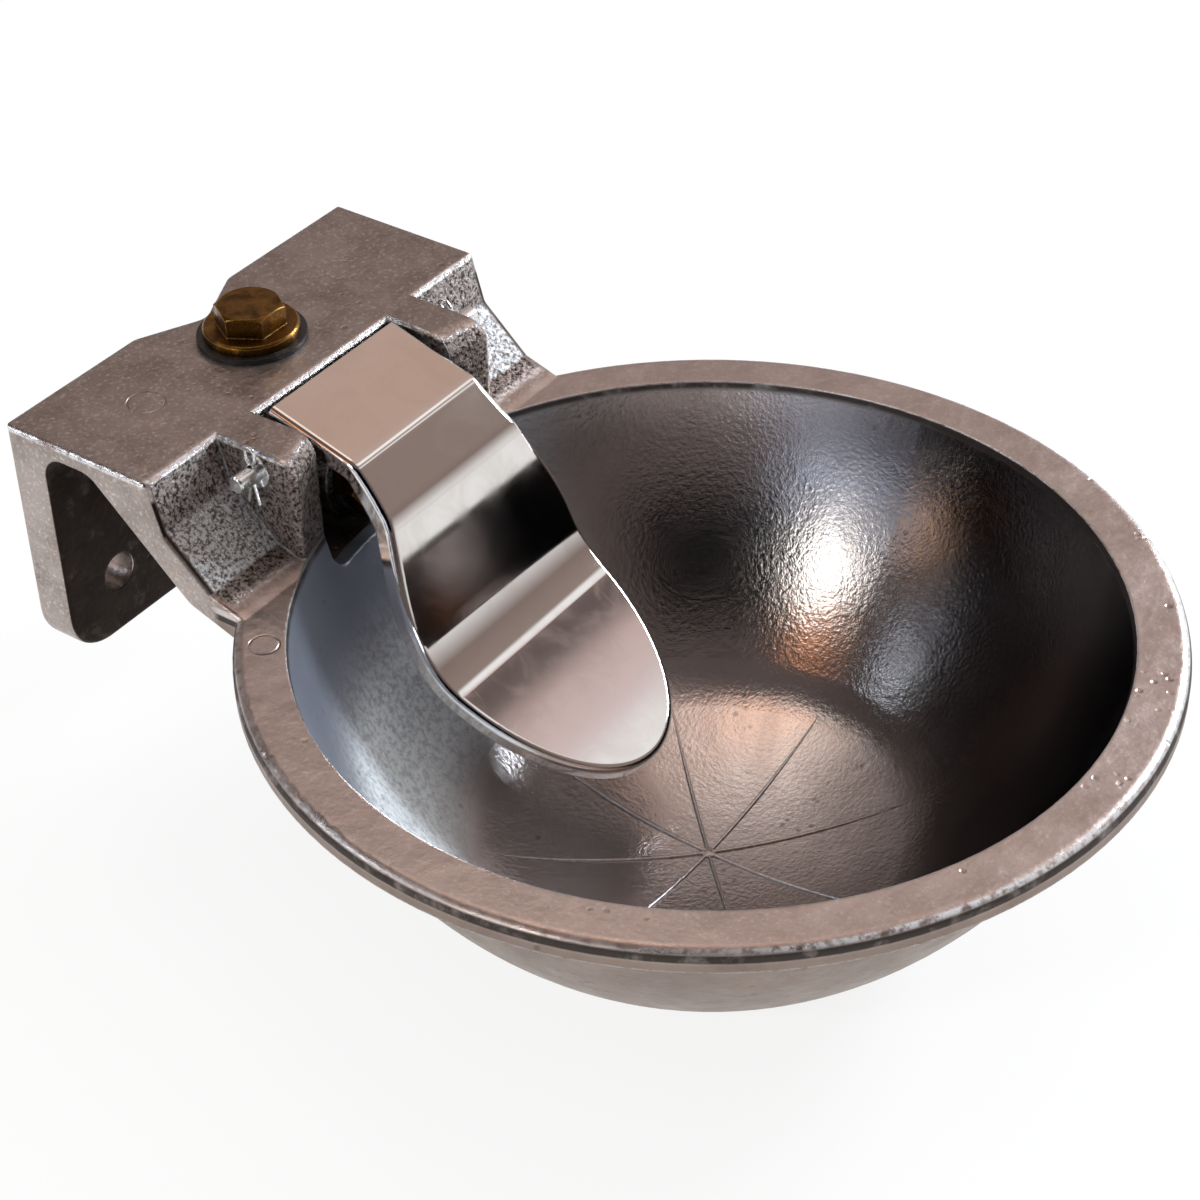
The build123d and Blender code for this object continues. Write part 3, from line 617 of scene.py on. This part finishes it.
def skin_relief(shader, coords, skin, sizes):
    """Height of the plain cast skin: grain, broad unevenness, pits and round marks."""
    fine = shader.math("MULTIPLY", skin["Height"], sizes.cast_bump)
    broad = shader.math("MULTIPLY", shader.noise(coords, 105.0, 3.0, 0.5), sizes.peel_depth)
    height = shader.math("ADD", fine, broad)
    height = shader.math("SUBTRACT", height, shader.math("MULTIPLY", skin["Pit"], sizes.pit_depth))
    marks = []
    for middle, radius in RING_MARKS:
        ring = shader.group("RingMark", {"Vector": coords, "Middle": middle, "Radius": radius})
        mark = ring.outputs["Mask"]
        depth = shader.math("MULTIPLY", mark, sizes.mark_depth)
        height = shader.math("SUBTRACT", height, depth)
        marks.append(mark)
    return height, marks


def skin_colour(shader, coords, colours, zone, marks):
    """Warm oxide with darker clouds and fine mottling, thinner on the rim and dull outside."""
    clouds = shader.ramp(shader.noise(coords, 60.0, 6.0, 0.68, 0.3), 0.38, 0.66)
    tone = shader.mix(shader.math("MULTIPLY", clouds, 0.50), colours.cast_skin, colours.cast_dark)
    speckle = shader.ramp(shader.noise(coords, 900.0, 3.0, 0.7), 0.50, 0.72)
    tone = shader.mix(shader.math("MULTIPLY", speckle, 0.42), tone, colours.cast_bare_and_highlight)
    tone = shader.mix(shader.math("MULTIPLY", zone["rim_top"], 0.55), tone, colours.cast_rim)
    tone = shader.mix(zone["outer"], tone, colours.cast_outer)
    outer_mottle = shader.math("MULTIPLY", shader.product(zone["outer"], clouds), 0.55)
    tone = shader.mix(outer_mottle, tone, colours.cast_dark)
    for mark in marks:
        tone = shader.mix(shader.math("MULTIPLY", mark, 0.16), tone, colours.cast_dirt_and_shade)
    return tone


def pocket_colour(shader, coords, colours, zone):
    """Coarse grains, painted bright and cool as lit at the foot of the ramps and dark as shaded
    elsewhere.
    """
    sparkle = shader.ramp(shader.noise(coords, 900.0, 4.0, 0.72), 0.38, 0.58)
    lit_grains = shader.mix(sparkle, colours.cast_dark, colours.cast_lit_grain)
    shaded_grains = shader.mix(sparkle, colours.cast_dirt_and_shade, colours.cast_skin)
    return shader.mix(zone["lit_ramp"], shaded_grains, lit_grains)


def inside_colour(shader, coords, colours, zone, patches):
    """Smoother metal with a faint water stain, a painted cool reflection and sheen band on one
    side, and a painted dark reflection on the other.
    """
    stain = shader.ramp(patches, 0.36, 0.70)
    bowl = shader.mix(shader.math("MULTIPLY", stain, 0.45), colours.bowl_metal, colours.bowl_stain)
    streaks = shader.ramp(shader.noise(coords, 520.0, 4.0, 0.7, 0.4), 0.34, 0.60, 0.38, 1.0)
    # painted cool reflection, then the painted sheen in streaks, then the painted dark reflection
    bowl = shader.mix(zone["cool_reflection"], bowl, colours.bowl_cool_reflection)
    bowl = shader.mix(shader.product(zone["sheen"], streaks), bowl, colours.bowl_sheen)
    return shader.mix(shader.math("MULTIPLY", zone["dark_reflection"], 0.94), bowl, colours.bowl_dark_reflection)


def casting_shade(shader, coords, zone):
    """Mask of the painted shade: in corners, from occlusion, in the lines at the mouth and under
    the lip, and in the saddle's hollow.
    """
    corner = shader.group("CornerShade", {"Vector": coords, "Reach": 0.005, "Break-up": 300.0})
    lines = shader.math("MAXIMUM", zone["mouth_shade"], zone["lip_shade"])
    broken = shader.ramp(shader.noise(coords, 150.0, 4.0, 0.6), 0.25, 0.50, 0.55, 0.95)
    in_corner = shader.math("MULTIPLY", corner.outputs["Mask"], 0.85)
    shade_and_dirt = shader.math("MAXIMUM", shader.product(lines, broken), in_corner)
    # painted shade in the saddle's hollow
    in_hollow = shader.product(zone["hollow"], shader.ramp(broken, 0.55, 0.95, 0.88, 0.98))
    return shader.math("MAXIMUM", shade_and_dirt, in_hollow)


def casting_roughness(shader, zone, tone, patches, worn, shade_and_dirt):
    """The skin is satin, its worn edges brighter, and the inside smoothest."""
    rubbed = shader.math("MULTIPLY", worn, 0.16)
    skin = shader.math("SUBTRACT", shader.ramp(tone, 0.3, 0.7, 0.42, 0.29), rubbed)
    skin = shader.math("ADD", skin, shader.math("MULTIPLY", zone["outer"], 0.08))
    inside = shader.ramp(patches, 0.30, 0.70, 0.14, 0.23)
    inside = shader.math("ADD", inside, shader.math("MULTIPLY", zone["cool_reflection"], 0.20))
    roughness = shader.blend(zone["inside"], skin, inside)
    return shader.math("ADD", roughness, shader.math("MULTIPLY", shade_and_dirt, 0.25))


def casting_metallic(shader, zone, rubbed_noise, shade_and_dirt):
    """Bare metal, less so under the painted shade, under the inside's painted cool reflection and
    sheen, and on the rim's painted highlight.
    """
    # the painted shade is made less metal, except in the hollow
    dull_shade = shader.product(shade_and_dirt, shader.math("SUBTRACT", 1.0, zone["hollow"]))
    metallic = shader.math("SUBTRACT", 1.0, shader.math("MULTIPLY", dull_shade, 0.6))
    cool_reflection = shader.math("MULTIPLY", zone["cool_reflection"], 0.45)
    sheen = shader.math("MULTIPLY", zone["sheen"], 0.92)
    # the painted rim highlight is made less metal, so its pale base colour shows
    matt_rim_highlight = shader.math("MULTIPLY", shader.product(zone["rim_highlight"], rubbed_noise), 0.65)
    metallic = shader.math("SUBTRACT", metallic, matt_rim_highlight)
    return shader.math("SUBTRACT", metallic, shader.math("MAXIMUM", cool_reflection, sheen), clamp=True)


def make_casting(sizes, colours):
    """Cast aluminium: warm oxide skin, rough pockets with painted light and shade, a smoother
    stained bowl with painted reflections and sheen, worn edges with a painted rim highlight, and
    painted shade in corners, lines and the hollow.
    """
    material, shader, coords = new_material("cast_aluminium")
    zone = casting_zones(shader, coords)
    wear = shader.group(
        "EdgeWear", {"Vector": coords, "Width": sizes.edge_round, "Break-up": 420.0}
    ).outputs
    skin = shader.group("CastGrain", {"Vector": coords, "Scale": 620.0, "Pits": 0.5}).outputs
    coarse = shader.group("CastGrain", {"Vector": coords, "Scale": 820.0, "Pits": 0.3}).outputs
    patches = shader.group("Smears", {"Vector": coords, "Scale": 26.0}).outputs["Patches"]
    height, marks = skin_relief(shader, coords, skin, sizes)

    base = shader.mix(
        zone["rough"],
        skin_colour(shader, coords, colours, zone, marks),
        pocket_colour(shader, coords, colours, zone),
    )
    base = shader.mix(zone["inside"], base, inside_colour(shader, coords, colours, zone, patches))
    rubbed_noise = shader.ramp(shader.noise(coords, 420.0, 4.0, 0.65), 0.34, 0.58)
    # worn edges, with the painted rim highlight among them
    worn = shader.math("MAXIMUM", wear["Mask"], shader.product(zone["edges"], rubbed_noise))
    shade_and_dirt = casting_shade(shader, coords, zone)
    # bare metal on worn edges, and the painted highlight on the rim
    base = shader.mix(shader.math("MULTIPLY", worn, 0.85), base, colours.cast_bare_and_highlight)
    base = shader.mix(shader.math("MULTIPLY", skin["Pit"], 0.6), base, colours.cast_dirt_and_shade)
    # painted shade in corners, in the lines at the mouth and under the lip, and in the hollow
    base = shader.mix(shade_and_dirt, base, colours.cast_dirt_and_shade)

    # relief: each zone's own depth
    coarse_relief = shader.math("MULTIPLY", coarse["Height"], sizes.rough_bump)
    grain = shader.math("MULTIPLY", shader.noise(coords, 800.0, 3.0, 0.6), sizes.bowl_grain)
    waves = shader.math("MULTIPLY", shader.noise(coords, 60.0, 2.0, 0.5), sizes.bowl_waves)
    relief = shader.blend(zone["rough"], height, coarse_relief)
    relief = shader.blend(zone["inside"], relief, shader.math("ADD", grain, waves))
    finish_material(
        shader,
        {
            "Base Color": base,
            "Roughness": casting_roughness(shader, zone, skin["Tone"], patches, worn, shade_and_dirt),
            "Metallic": casting_metallic(shader, zone, rubbed_noise, shade_and_dirt),
        },
        relief, wear["Normal"],
    )
    return material


def make_steel(name, tint, rough_low, rough_high, scratch_depth, scale=70.0):
    """Bright steel with uneven gloss and fine scratches."""
    material, shader, coords = new_material(name)
    smears = shader.group(
        "Smears", {"Vector": coords, "Scale": scale, "Scratch Scale": 1400.0}
    ).outputs
    wear = shader.group("EdgeWear", {"Vector": coords, "Width": 0.0004, "Break-up": 700.0}).outputs
    patches = shader.ramp(smears["Patches"], 0.35, 0.70)
    darker = shader.mix(1.0, tint, STEEL_DULL, "MULTIPLY")
    base = shader.mix(shader.math("MULTIPLY", patches, 0.6), tint, darker)
    base = shader.mix(shader.math("MULTIPLY", wear["Mask"], 0.5), base, STEEL_RUBBED)
    roughness = shader.ramp(patches, 0.0, 1.0, rough_low, rough_high)
    lines = shader.ramp(smears["Scratches"], 0.66, 0.76)
    roughness = shader.math("ADD", roughness, shader.math("MULTIPLY", lines, 0.03))
    relief = shader.math("MULTIPLY", smears["Scratches"], scratch_depth)
    finish_material(
        shader, {"Base Color": base, "Roughness": roughness, "Metallic": 1.0},
        relief, wear["Normal"],
    )
    return material


def make_brass(colours):
    """Brass gone dark and brown, with rubbed edges, dirt in pits and painted shade in corners."""
    material, shader, coords = new_material("brass")
    grain = shader.group("CastGrain", {"Vector": coords, "Scale": 900.0, "Pits": 0.3}).outputs
    wear = shader.group("EdgeWear", {"Vector": coords, "Width": 0.0006, "Break-up": 600.0}).outputs
    corner = shader.group("CornerShade", {"Vector": coords, "Reach": 0.003, "Break-up": 400.0})
    patches = shader.ramp(shader.noise(coords, 170.0, 4.0, 0.62, 0.5), 0.30, 0.68)
    base = shader.mix(patches, colours.brass, colours.brass_dull)
    pits = shader.math("MULTIPLY", grain["Pit"], 0.5)
    # painted shade in corners, with dirt in the pits
    shade_and_dirt = shader.math("MAXIMUM", corner.outputs["Mask"], pits)
    base = shader.mix(shade_and_dirt, base, colours.brass_shade_and_dirt)
    base = shader.mix(shader.math("MULTIPLY", wear["Mask"], 0.8), base, colours.brass_bright)
    roughness = shader.ramp(patches, 0.0, 1.0, 0.24, 0.40)
    relief = shader.math("MULTIPLY", grain["Height"], 0.000015)
    finish_material(
        shader, {"Base Color": base, "Roughness": roughness, "Metallic": 1.0},
        relief, wear["Normal"],
    )
    return material


def make_rubber(colours):
    """Black rubber with a little dust and a fine moulded grain."""
    material, shader, coords = new_material("black_rubber")
    grain = shader.noise(coords, 1500.0, 3.0, 0.6)
    dusty = shader.ramp(shader.noise(coords, 240.0, 5.0, 0.65), 0.52, 0.80)
    base = shader.mix(shader.math("MULTIPLY", dusty, 0.35), colours.rubber, colours.dust)
    roughness = shader.ramp(dusty, 0.0, 1.0, 0.42, 0.75)
    relief = shader.math("MULTIPLY", grain, 0.00005)
    finish_material(shader, {"Base Color": base, "Roughness": roughness}, relief)
    return material


def make_plastic(colours):
    """Moulded plastic, a little stained."""
    material, shader, coords = new_material("white_plastic")
    grain = shader.noise(coords, 900.0, 3.0, 0.6)
    stain = shader.ramp(shader.noise(coords, 160.0, 4.0), 0.4, 0.7)
    base = shader.mix(shader.math("MULTIPLY", stain, 0.4), colours.plastic, colours.plastic_stain)
    roughness = shader.ramp(grain, 0.3, 0.7, 0.35, 0.5)
    relief = shader.math("MULTIPLY", grain, 0.00003)
    finish_material(shader, {"Base Color": base, "Roughness": roughness}, relief)
    return material


# ---------------------------------------------------------------- modelling helpers

def deselect_all():
    """Nothing selected and no active object, so the next operator acts only on what it adds."""
    if bpy.context.object and bpy.context.object.mode != "OBJECT":
        bpy.ops.object.mode_set(mode="OBJECT")
    bpy.ops.object.select_all(action="DESELECT")


def pick(obj):
    """Only this object selected and active."""
    deselect_all()
    obj.select_set(True)
    bpy.context.view_layer.objects.active = obj


def settle(obj, name, body):
    """Names a finished piece, brings it to the origin and hands it to the frame."""
    pick(obj)
    bpy.ops.object.transform_apply(location=True, rotation=True, scale=True)
    obj.name = name
    obj.data.name = name
    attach(obj, body)


def floor_height(radius):
    """Height of the bowl's inner surface at a distance from its axis."""
    floor = RIM_Z - FLOOR_DEPTH + FLOOR_ARC_R - math.sqrt(FLOOR_ARC_R ** 2 - radius ** 2)
    reach = radius - SIDE_ARC_X
    side = RIM_Z + SIDE_ARC_Z - math.sqrt(max(SIDE_ARC_R ** 2 - reach ** 2, 0.0))
    return max(floor, side)


# ---------------------------------------------------------------- operators

class BOWL_OT_casting(Operator):
    """Gives the casting its skin"""

    bl_idname = "bowl.casting"
    bl_label = "Casting"

    def execute(self, context):
        scene = context.scene
        material = make_casting(scene.bowl_sizes, scene.bowl_colours)
        give(NODES["bowl_body"], material)
        return {"FINISHED"}


class BOWL_OT_star(Operator):
    """Adds the thin raised rays on the floor of the bowl"""

    bl_idname = "bowl.star"
    bl_label = "Floor star"

    def execute(self, context):
        sizes = context.scene.bowl_sizes
        part_turn = 2 * math.pi / sizes.star_rays
        rays = [self.ray(sizes, part_turn * i) for i in range(sizes.star_rays)]
        pick(rays[0])
        for ray in rays[1:]:
            ray.select_set(True)
        bpy.ops.object.join()
        star = context.object
        give(star, NODES["bowl_body"].data.materials[0])
        settle(star, "floor_star", "bowl")
        return {"FINISHED"}

    def ray(self, sizes, turn):
        """One ray: a thin bar cut into steps, laid on the floor's curve and tapered to its end."""
        deselect_all()
        bpy.ops.mesh.primitive_cube_add(size=1.0, location=(0, 0, 0))
        bar = bpy.context.object
        bar.scale = (sizes.star_reach, sizes.star_width, sizes.star_height)
        bpy.ops.object.transform_apply(location=False, rotation=False, scale=True)
        bpy.ops.object.mode_set(mode="EDIT")
        for k in range(1, RAY_STEPS):
            bpy.ops.mesh.select_all(action="SELECT")
            cut_x = sizes.star_reach * (k / RAY_STEPS - 0.5)
            bpy.ops.mesh.bisect(plane_co=(cut_x, 0, 0), plane_no=(1, 0, 0))
        bpy.ops.object.mode_set(mode="OBJECT")
        for vertex in bar.data.vertices:
            radius = vertex.co.x + sizes.star_reach / 2
            beyond = max(0.0, radius / sizes.star_reach - RAY_TAPER_FROM) / (1.0 - RAY_TAPER_FROM)
            fade = 1.0 - RAY_TAPER * beyond
            top = vertex.co.z > 0
            half = vertex.co.y * fade * (RAY_TOP if top else RAY_FOOT)
            lift = sizes.star_height * (fade if top else -RAY_SINK)
            vertex.co = (
                radius * math.cos(turn) - half * math.sin(turn),
                BOWL_Y + radius * math.sin(turn) + half * math.cos(turn),
                floor_height(radius) + lift,
            )
        bpy.ops.object.shade_smooth_by_angle(angle=math.radians(60))
        return bar


class BOWL_OT_paddle(Operator):
    """Polishes the paddle"""

    bl_idname = "bowl.paddle"
    bl_label = "Paddle"

    def execute(self, context):
        tint = context.scene.bowl_colours.steel
        depth = context.scene.bowl_sizes.scratch_depth
        steel = make_steel("stainless_sheet", tint, 0.045, 0.075, depth)
        give(NODES["paddle"], steel)
        return {"FINISHED"}


class BOWL_OT_hinge(Operator):
    """Finishes the hinge pin, its washers and split pins"""

    bl_idname = "bowl.hinge"
    bl_label = "Hinge pin"

    def execute(self, context):
        tint = context.scene.bowl_colours.plated
        plated = make_steel("plated_steel", tint, 0.18, 0.30, 0.00001, 300.0)
        names = (
            "hinge_pin", "pin_washer_left", "pin_washer_right",
            "split_pin_left", "split_pin_right", "return_spring",
        )
        for name in names:
            give(NODES[name], plated)
        return {"FINISHED"}


class BOWL_OT_spring(Operator):
    """Makes a smooth copy of the return spring in place of the imported one"""

    bl_idname = "bowl.spring"
    bl_label = "Return spring"

    def execute(self, context):
        pick(NODES["return_spring"])
        bpy.ops.object.duplicate()
        spring = context.object
        bpy.ops.object.mode_set(mode="EDIT")
        bpy.ops.mesh.select_all(action="SELECT")
        bpy.ops.mesh.remove_doubles(threshold=1e-6)
        bpy.ops.object.mode_set(mode="OBJECT")
        bpy.ops.object.shade_smooth_by_angle(angle=math.radians(30))
        settle(spring, "coil_spring", "bowl")
        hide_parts("return_spring")
        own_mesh(spring)
        return {"FINISHED"}


class BOWL_OT_brass(Operator):
    """Finishes the plug and the brass parts of the valve"""

    bl_idname = "bowl.brass"
    bl_label = "Plug and valve brass"

    def execute(self, context):
        brass = make_brass(context.scene.bowl_colours)
        names = (
            "inlet_plug", "valve_body", "valve_seat", "seal_holder", "seal_nut", "spring_retainer",
        )
        for name in names:
            give(NODES[name], brass)
        return {"FINISHED"}


class BOWL_OT_seals(Operator):
    """Finishes the rubber seals, the stem and its cap"""

    bl_idname = "bowl.seals"
    bl_label = "Seals and stem"

    def execute(self, context):
        colours = context.scene.bowl_colours
        rubber = make_rubber(colours)
        for name in ("inlet_plug_gasket", "valve_body_gasket", "seat_o_ring", "seal_disc"):
            give(NODES[name], rubber)
        turned = make_steel("stainless_turned", colours.plated, 0.22, 0.32, 0.00001, 400.0)
        for name in ("valve_stem", "strainer"):
            give(NODES[name], turned)
        give(NODES["stem_cap"], make_plastic(colours))
        return {"FINISHED"}


class BOWL_OT_stage(Operator):
    """Sets the floor, lamps, world and camera"""

    bl_idname = "bowl.stage"
    bl_label = "Stage"

    def execute(self, context):
        scene = context.scene
        self.floor(scene)
        self.lamps(scene)
        self.world(scene)
        self.camera(scene)
        scene.view_settings.view_transform = "Standard"
        return {"FINISHED"}

    def floor(self, scene):
        """A wide matt floor that keeps the shadow and is seen, and mirrored, near white."""
        deselect_all()
        level = cad_box[0][2] - FLOOR_GAP
        bpy.ops.mesh.primitive_plane_add(size=FLOOR_WIDTH, location=(0, BOWL_Y, level))
        floor = bpy.context.object
        floor.name = "floor"
        bpy.ops.object.transform_apply(location=True, rotation=True, scale=True)
        material, shader, coords = new_material("studio_floor")
        grain = shader.ramp(shader.noise(coords, 90.0, 3.0), 0.2, 0.8, 0.97, 1.0)
        tone = shader.mix(grain, (0.86, 0.86, 0.86), scene.bowl_colours.floor)
        matt = shader.node("ShaderNodeBsdfDiffuse", {"Color": tone})
        glow = shader.node("ShaderNodeEmission", {"Color": WHITE, "Strength": FLOOR_GLOW})
        rays = shader.node("ShaderNodeLightPath").outputs
        shown = shader.math("MAXIMUM", rays["Is Camera Ray"], rays["Is Glossy Ray"])
        shown = shader.math("MAXIMUM", shown, rays["Is Transmission Ray"])
        share = shader.math("MULTIPLY", shown, FLOOR_GLOW_SHARE)
        surface = shader.node(
            "ShaderNodeMixShader", {0: share, 1: matt.outputs[0], 2: glow.outputs[0]}
        )
        shader.node("ShaderNodeOutputMaterial", {"Surface": surface.outputs[0]})
        give(floor, material)

    def lamp(self, name, place, size, power, tint):
        """An oblong soft lamp at a place, aimed at the bowl."""
        deselect_all()
        bpy.ops.object.light_add(type="AREA", location=place)
        lamp = bpy.context.object
        lamp.name = name
        lamp.data.shape = "RECTANGLE"
        lamp.data.size, lamp.data.size_y = size
        lamp.data.energy = power
        lamp.data.color = tint
        lamp.rotation_euler = (Vector(LAMP_TARGET) - place).to_track_quat("-Z", "Y").to_euler()
        return lamp

    def lamps(self, scene):
        """The lamps, each placed by its angles. The metal shows all but the key lamp."""
        studio = scene.bowl_studio
        for name, azimuth, elevation, distance, size, share, tint in LAMPS:
            turn, tilt = math.radians(azimuth), math.radians(elevation)
            away = Vector((
                math.cos(turn) * math.cos(tilt), math.sin(turn) * math.cos(tilt), math.sin(tilt)
            ))
            power = share * (studio.key_power if name == "key_lamp" else studio.fill_power)
            lamp = self.lamp(name, Vector(LAMP_TARGET) + away * distance, size, power, tint)
            lamp.visible_glossy = name != "key_lamp"

    def card(self, shader, seen, so_far, card):
        """Lays one soft card over the studio's colour; its place and half sizes are in degrees."""
        name, azimuth, elevation, half_wide, half_high, soft, tint = card
        rad = math.radians
        sideways = shader.math("SUBTRACT", seen["azimuth"], rad(azimuth))
        sideways = shader.math("ABSOLUTE", shader.math("WRAP", sideways, math.pi, -math.pi))
        upwards = shader.math("SUBTRACT", seen["elevation"], rad(elevation))
        upwards = shader.math("ABSOLUTE", upwards)
        mask = shader.product(
            shader.ramp(sideways, rad(half_wide + soft), rad(half_wide)),
            shader.ramp(upwards, rad(half_high + soft), rad(half_high)),
        )
        mixed = shader.mix(mask, so_far, tint)
        mixed.node.label = name
        return mixed

    def ceiling(self, shader, place):
        """Bands of the ceiling, which run along X, by how far each leans forward from overhead."""
        lean = shader.math("ARCTAN2", shader.math("MULTIPLY", place["Y"], -1.0), place["Z"])
        ramp = shader.node("ShaderNodeValToRGB")
        share = shader.ramp(lean, -math.pi / 2, math.pi / 2, smooth=False)
        shader.put(ramp, "Fac", share)
        stops = ramp.color_ramp.elements
        for stop, (angle, tint) in zip(
            [stops[0], stops[1], *(stops.new(0.5) for band in CEILING[2:])], CEILING
        ):
            stop.position = (angle + 90.0) / 180.0
            stop.color = (*tint, 1.0)
        return ramp.outputs[0]

    def world(self, scene):
        """Soft even light, a studio of cards for the metal to show, and white behind it all."""
        world = bpy.data.worlds.new("studio")
        scene.world = world
        world.use_nodes = True
        world.node_tree.nodes.clear()
        shader = Shader(world.node_tree)
        direction = shader.node("ShaderNodeTexCoord").outputs["Generated"]
        place = shader.node("ShaderNodeSeparateXYZ", {0: direction}).outputs
        seen = {
            "azimuth": shader.math("ARCTAN2", place["Y"], place["X"]),
            "elevation": shader.math("ARCSINE", place["Z"]),
        }
        right_side = shader.ramp(place["X"], -0.12, 0.35)
        room = shader.mix(right_side, DARK_SIDE, self.ceiling(shader, place))
        room = shader.mix(shader.ramp(seen["elevation"], 0.10, 0.02), room, HORIZON)
        for card in CARDS:
            room = self.card(shader, seen, room, card)
        rays = shader.node("ShaderNodeLightPath").outputs
        gloss = shader.math("MAXIMUM", rays["Is Glossy Ray"], rays["Is Transmission Ray"])
        level = scene.bowl_studio.world_level
        soft, cards, white = (
            shader.node("ShaderNodeBackground", {"Color": tint, "Strength": strength}).outputs[0]
            for tint, strength in ((SOFT_LIGHT, level), (room, 1.0), (WHITE, 1.0))
        )
        lit = shader.node("ShaderNodeMixShader", {0: gloss, 1: soft, 2: cards}).outputs[0]
        camera_ray = rays["Is Camera Ray"]
        shown = shader.node("ShaderNodeMixShader", {0: camera_ray, 1: lit, 2: white})
        shader.node("ShaderNodeOutputWorld", {"Surface": shown.outputs[0]})

    def camera(self, scene):
        """The camera, turned about its own line of sight by its roll."""
        azimuth, elevation = math.radians(CAMERA_AZIMUTH), math.radians(CAMERA_ELEVATION)
        roll = math.radians(CAMERA_ROLL)
        back = Vector((
            math.sin(azimuth) * math.cos(elevation),
            -math.cos(azimuth) * math.cos(elevation),
            math.sin(elevation),
        ))
        right = (-back).cross(Vector((0, 0, 1))).normalized()
        up = right.cross(-back)
        turned_right = right * math.cos(roll) + up * math.sin(roll)
        turned_up = up * math.cos(roll) - right * math.sin(roll)
        data = bpy.data.cameras.new("camera")
        data.lens = scene.bowl_studio.lens
        data.sensor_width = 36.0
        data.clip_start = 0.01
        camera = bpy.data.objects.new("camera", data)
        scene.collection.objects.link(camera)
        axes = Matrix((turned_right, turned_up, back)).transposed().to_4x4()
        place = Vector(CAMERA_TARGET) + back * CAMERA_DISTANCE
        camera.matrix_world = Matrix.Translation(place) @ axes
        scene.camera = camera


OPERATORS = (
    BOWL_OT_casting, BOWL_OT_star, BOWL_OT_paddle, BOWL_OT_hinge, BOWL_OT_spring,
    BOWL_OT_brass, BOWL_OT_seals, BOWL_OT_stage,
)


class BOWL_PT_panel(Panel):
    """Lists the pieces of the drinking bowl"""

    bl_idname = "BOWL_PT_panel"
    bl_label = "Drinking bowl"
    bl_space_type = "VIEW_3D"
    bl_region_type = "UI"
    bl_category = "Drinking bowl"

    def draw(self, context):
        for operator in OPERATORS:
            self.layout.operator(operator.bl_idname)


CLASSES = (BowlSizes, BowlColours, BowlStudio, *OPERATORS, BOWL_PT_panel)


def register():
    """Adds the classes and the settings that they share."""
    for cls in CLASSES:
        bpy.utils.register_class(cls)
    bpy.types.Scene.bowl_sizes = PointerProperty(type=BowlSizes)
    bpy.types.Scene.bowl_colours = PointerProperty(type=BowlColours)
    bpy.types.Scene.bowl_studio = PointerProperty(type=BowlStudio)


def unregister():
    """Takes the settings and classes away again."""
    del bpy.types.Scene.bowl_studio
    del bpy.types.Scene.bowl_colours
    del bpy.types.Scene.bowl_sizes
    for cls in reversed(CLASSES):
        bpy.utils.unregister_class(cls)


def main():
    """Makes every piece in order."""
    register()
    make_edge_wear()
    make_cast_grain()
    make_smears()
    make_corner_shade()
    make_ring_mark()
    bpy.ops.bowl.casting()
    bpy.ops.bowl.star()
    bpy.ops.bowl.paddle()
    bpy.ops.bowl.hinge()
    bpy.ops.bowl.spring()
    bpy.ops.bowl.brass()
    bpy.ops.bowl.seals()
    bpy.ops.bowl.stage()


if __name__ == "__main__":
    main()
